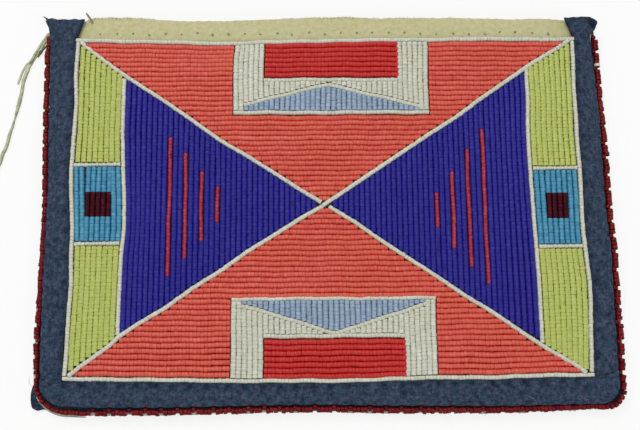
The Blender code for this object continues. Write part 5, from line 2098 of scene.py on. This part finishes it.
@dataclass
class Nap:
    """Loose fibres on the wool and along the hide's edge."""

    wool_fibres: int = 5600
    hide_fibres: int = 2600
    dice: np.random.Generator = field(default_factory=lambda: np.random.default_rng(8))

    def grow(
        self, name: str, on: Sequence[bpy.types.Object], count: int, length: float, thick: float,
        keep: Callable,
    ) -> bpy.types.Object:
        """Scatters fibres over some pieces.

        Args:
            name: The new piece's name.
            on: The pieces that they grow on.
            count: How many there are.
            length: Their usual length.
            thick: Their thickness at the root.
            keep: Says which of the places are used.

        Returns:
            The fibres, in one piece.
        """
        roots, outs, areas = [], [], []
        for piece in on:
            mesh = piece.data
            for face in mesh.polygons:
                roots.append(tuple(face.center))
                outs.append(tuple(face.normal))
                areas.append(face.area)
        roots, outs, areas = np.array(roots), np.array(outs), np.array(areas)
        chosen = keep(roots, outs)
        roots, outs, areas = roots[chosen], outs[chosen], areas[chosen]
        pick = self.dice.choice(len(roots), count, p=areas / areas.sum())
        size = np.sqrt(areas[pick])[:, None]
        start = roots[pick] + self.dice.uniform(-0.5, 0.5, (count, 3)) * size * (1 - np.abs(outs[pick]))
        ahead = self.dice.normal(size=(count, 3))
        out = outs[pick]
        ahead -= out * np.sum(ahead * out, axis=1, keepdims=True)
        ahead /= np.linalg.norm(ahead, axis=1, keepdims=True)
        rise = self.dice.uniform(0.12, 0.75, (count, 1))
        reach = length * self.dice.uniform(0.45, 1.35, (count, 1))
        tip = start + (ahead * (1 - rise * 0.5) + out * rise) * reach
        sides = np.cross(ahead, out)
        corner_a = start + sides * thick
        corner_b = start - sides * thick * 0.5 + out * thick
        corner_c = start - sides * thick * 0.5 - out * thick
        places = np.stack([corner_a, corner_b, corner_c, tip], axis=1).reshape(-1, 3)
        places[:, 2] = np.maximum(places[:, 2], 0.0001)
        faces = np.array([(0, 1, 2), (0, 3, 1), (1, 3, 2), (2, 3, 0)])
        return Hands.finish(Hands.mesh(name, places, Hands.repeated(faces, count, 4)))

    def build(self, wool: WoolBorder, hide: bpy.types.Object) -> None:
        """Grows the nap.

        Args:
            wool: The wool pieces.
            hide: The hide front.
        """

        def seen(roots: np.ndarray, outs: np.ndarray) -> np.ndarray:
            """Upper faces and outer edges."""
            return (outs[:, 2] > -0.2) & ((roots[:, 2] > 0.002) | (np.abs(outs[:, 2]) < 0.7))

        def edge(roots: np.ndarray, outs: np.ndarray) -> np.ndarray:
            """The hide's edge along the mouth."""
            return (roots[:, 1] > 0.0748) & (np.abs(roots[:, 0]) < 0.095)

        nap = self.grow("wool_nap", wool.pieces, self.wool_fibres, 0.0013, 0.00003, seen)
        fit(nap, Finish.WOOL)
        fit(self.grow("hide_nap", [hide], self.hide_fibres, 0.0009, 0.00005, edge), Finish.HIDE)
        stray = Strands(0.00011, 0.00011, 8)
        lines = (
            (
                (0.0702, -0.0701, 0.0056), (0.0712, -0.07, 0.0058), (0.0723, -0.0706, 0.0059),
                (0.0736, -0.0712, 0.0058), (0.0744, -0.0722, 0.0056), (0.0748, -0.0733, 0.0052),
            ),
            ((0.0899, -0.0699, 0.0056), (0.0918, -0.0708, 0.0057), (0.0936, -0.0721, 0.0055)),
            ((0.0905, -0.0707, 0.0056), (0.0922, -0.0717, 0.0056), (0.0934, -0.0728, 0.0053)),
            ((0.0893, -0.0711, 0.0056), (0.0907, -0.0718, 0.0055)),
            (
                (-0.1092, -0.0612, 0.0004), (-0.1094, -0.063, 0.0005), (-0.1088, -0.0642, 0.0009),
                (-0.1075, -0.0652, 0.0018),
            ),
        )
        for line in lines:
            stray.add(smooth_line(line), ((0, 0.4), (0.5, 1), (1, 0.5)))
        fit(stray.build("stray_hairs"), Finish.LINT)


@dataclass
class Studio:
    """The floor, the soft light and the camera."""

    floor_size: float = 8.0
    sky: float = 0.62
    horizon: float = 0.96
    lens: float = 56.25
    right: tuple[float, float, float] = (0.99986995, -0.00938217, 0.01311723)
    up: tuple[float, float, float] = (0.00578588, 0.96790122, 0.2512643)
    back: tuple[float, float, float] = (-0.01505359, -0.25115573, 0.96782963)

    def camera(self) -> None:
        """Places the camera where the photographer stood."""
        data = bpy.data.cameras.new("view")
        data.lens = self.lens
        data.sensor_width = 36
        data.sensor_fit = "HORIZONTAL"
        data.clip_start = 0.01
        camera = Hands.link("view", data)
        turn = Matrix((self.right, self.up, self.back)).transposed().to_4x4()
        camera.matrix_world = Matrix.Translation(SHAPE.eye) @ turn
        bpy.context.scene.camera = camera

    def floor(self) -> None:
        """A pale floor, white to the camera and with the purse's shadow on it."""
        Hands.clear()
        bpy.ops.mesh.primitive_grid_add(x_subdivisions=8, y_subdivisions=8, size=self.floor_size)
        floor = bpy.context.active_object
        floor.name = "studio_floor"
        graph = Graph("floor_paper")
        seen = graph.node("ShaderNodeLightPath", {}, {}, "Is Camera Ray")
        glossy = graph.node("ShaderNodeLightPath", {}, {}, "Is Glossy Ray")
        through = graph.node("ShaderNodeLightPath", {}, {}, "Is Transmission Ray")
        seen = seen + glossy + through
        grain = graph.noise(graph.place(), 60, 2)
        values = {
            "Base Color": graph.mix(grain * 0.1, (0.86, 0.86, 0.85), (0.82, 0.82, 0.81)),
            "Roughness": 0.9,
            "Specular IOR Level": 0.1,
            "Emission Color": (1.0, 1.0, 1.0, 1.0),
            "Emission Strength": 0.0,
        }
        material = graph.dress(values)
        glow = graph.node("ShaderNodeEmission", {}, {"Color": (1.0, 1.0, 1.0, 1.0), "Strength": 1.0})
        mixed = graph.node(
            "ShaderNodeMixShader", {}, {0: seen * 0.8, 1: Shade(graph, graph.shader.outputs[0]), 2: glow}
        )
        graph.tree.links.new(mixed.socket, graph.tree.nodes["Material Output"].inputs["Surface"])
        floor.data.materials.append(material)

    def lamp(self, name: str, spot: tuple[float, float, float], size: float, power: float) -> None:
        """One soft square lamp, aimed at the purse.

        Args:
            name: The lamp's name.
            spot: Where it hangs.
            size: Its side.
            power: Its power in watts.
        """
        data = bpy.data.lights.new(name, "AREA")
        data.size = size
        data.energy = power
        lamp = Hands.link(name, data)
        aim = (-Vector(spot)).to_track_quat("-Z", "Y").to_matrix().to_4x4()
        lamp.matrix_world = Matrix.Translation(spot) @ aim

    def light(self) -> None:
        """A large soft lamp behind and left, a weaker one in front, and a pale sky."""
        self.lamp("key_light", (-0.35, 0.55, 0.9), 0.5, 4.8)
        self.lamp("fill_light", (0.6, -0.5, 0.8), 0.8, 2.0)
        world = bpy.data.worlds.new("pale_sky")
        world.use_nodes = True
        tree = world.node_tree
        ground = tree.nodes["Background"]
        ground.inputs["Color"].default_value = (1, 1, 1, 1)
        path = tree.nodes.new("ShaderNodeLightPath")
        strength = tree.nodes.new("ShaderNodeMapRange")
        strength.inputs["To Min"].default_value = self.sky
        strength.inputs["To Max"].default_value = self.horizon
        seen = path.outputs["Is Camera Ray"]
        for name in ("Is Glossy Ray", "Is Transmission Ray"):
            either = tree.nodes.new("ShaderNodeMath")
            either.operation = "MAXIMUM"
            tree.links.new(seen, either.inputs[0])
            tree.links.new(path.outputs[name], either.inputs[1])
            seen = either.outputs[0]
        tree.links.new(seen, strength.inputs["Value"])
        tree.links.new(strength.outputs["Result"], ground.inputs["Strength"])
        bpy.context.scene.world = world
        bpy.context.scene.view_settings.view_transform = "Standard"


def main() -> None:
    """Builds every part of the purse in order."""
    logging.basicConfig(level=logging.INFO, format="%(message)s")
    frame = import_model()
    studio = Studio()
    studio.camera()
    Thong().build()
    studio.floor()
    studio.light()
    bead = SeedBead()
    beadwork = Beadwork()
    beadwork.lay()
    beadwork.build(bead)
    wool = WoolBorder()
    edging = EdgeBeading()
    edging.lay(wool)
    edging.build(bead)
    wool.build(beadwork)
    hide = HideFront().build(beadwork)
    Zip(nodes=frame["nodes"]).build()
    Nap().build(wool, hide)


if __name__ == "__main__":
    main()
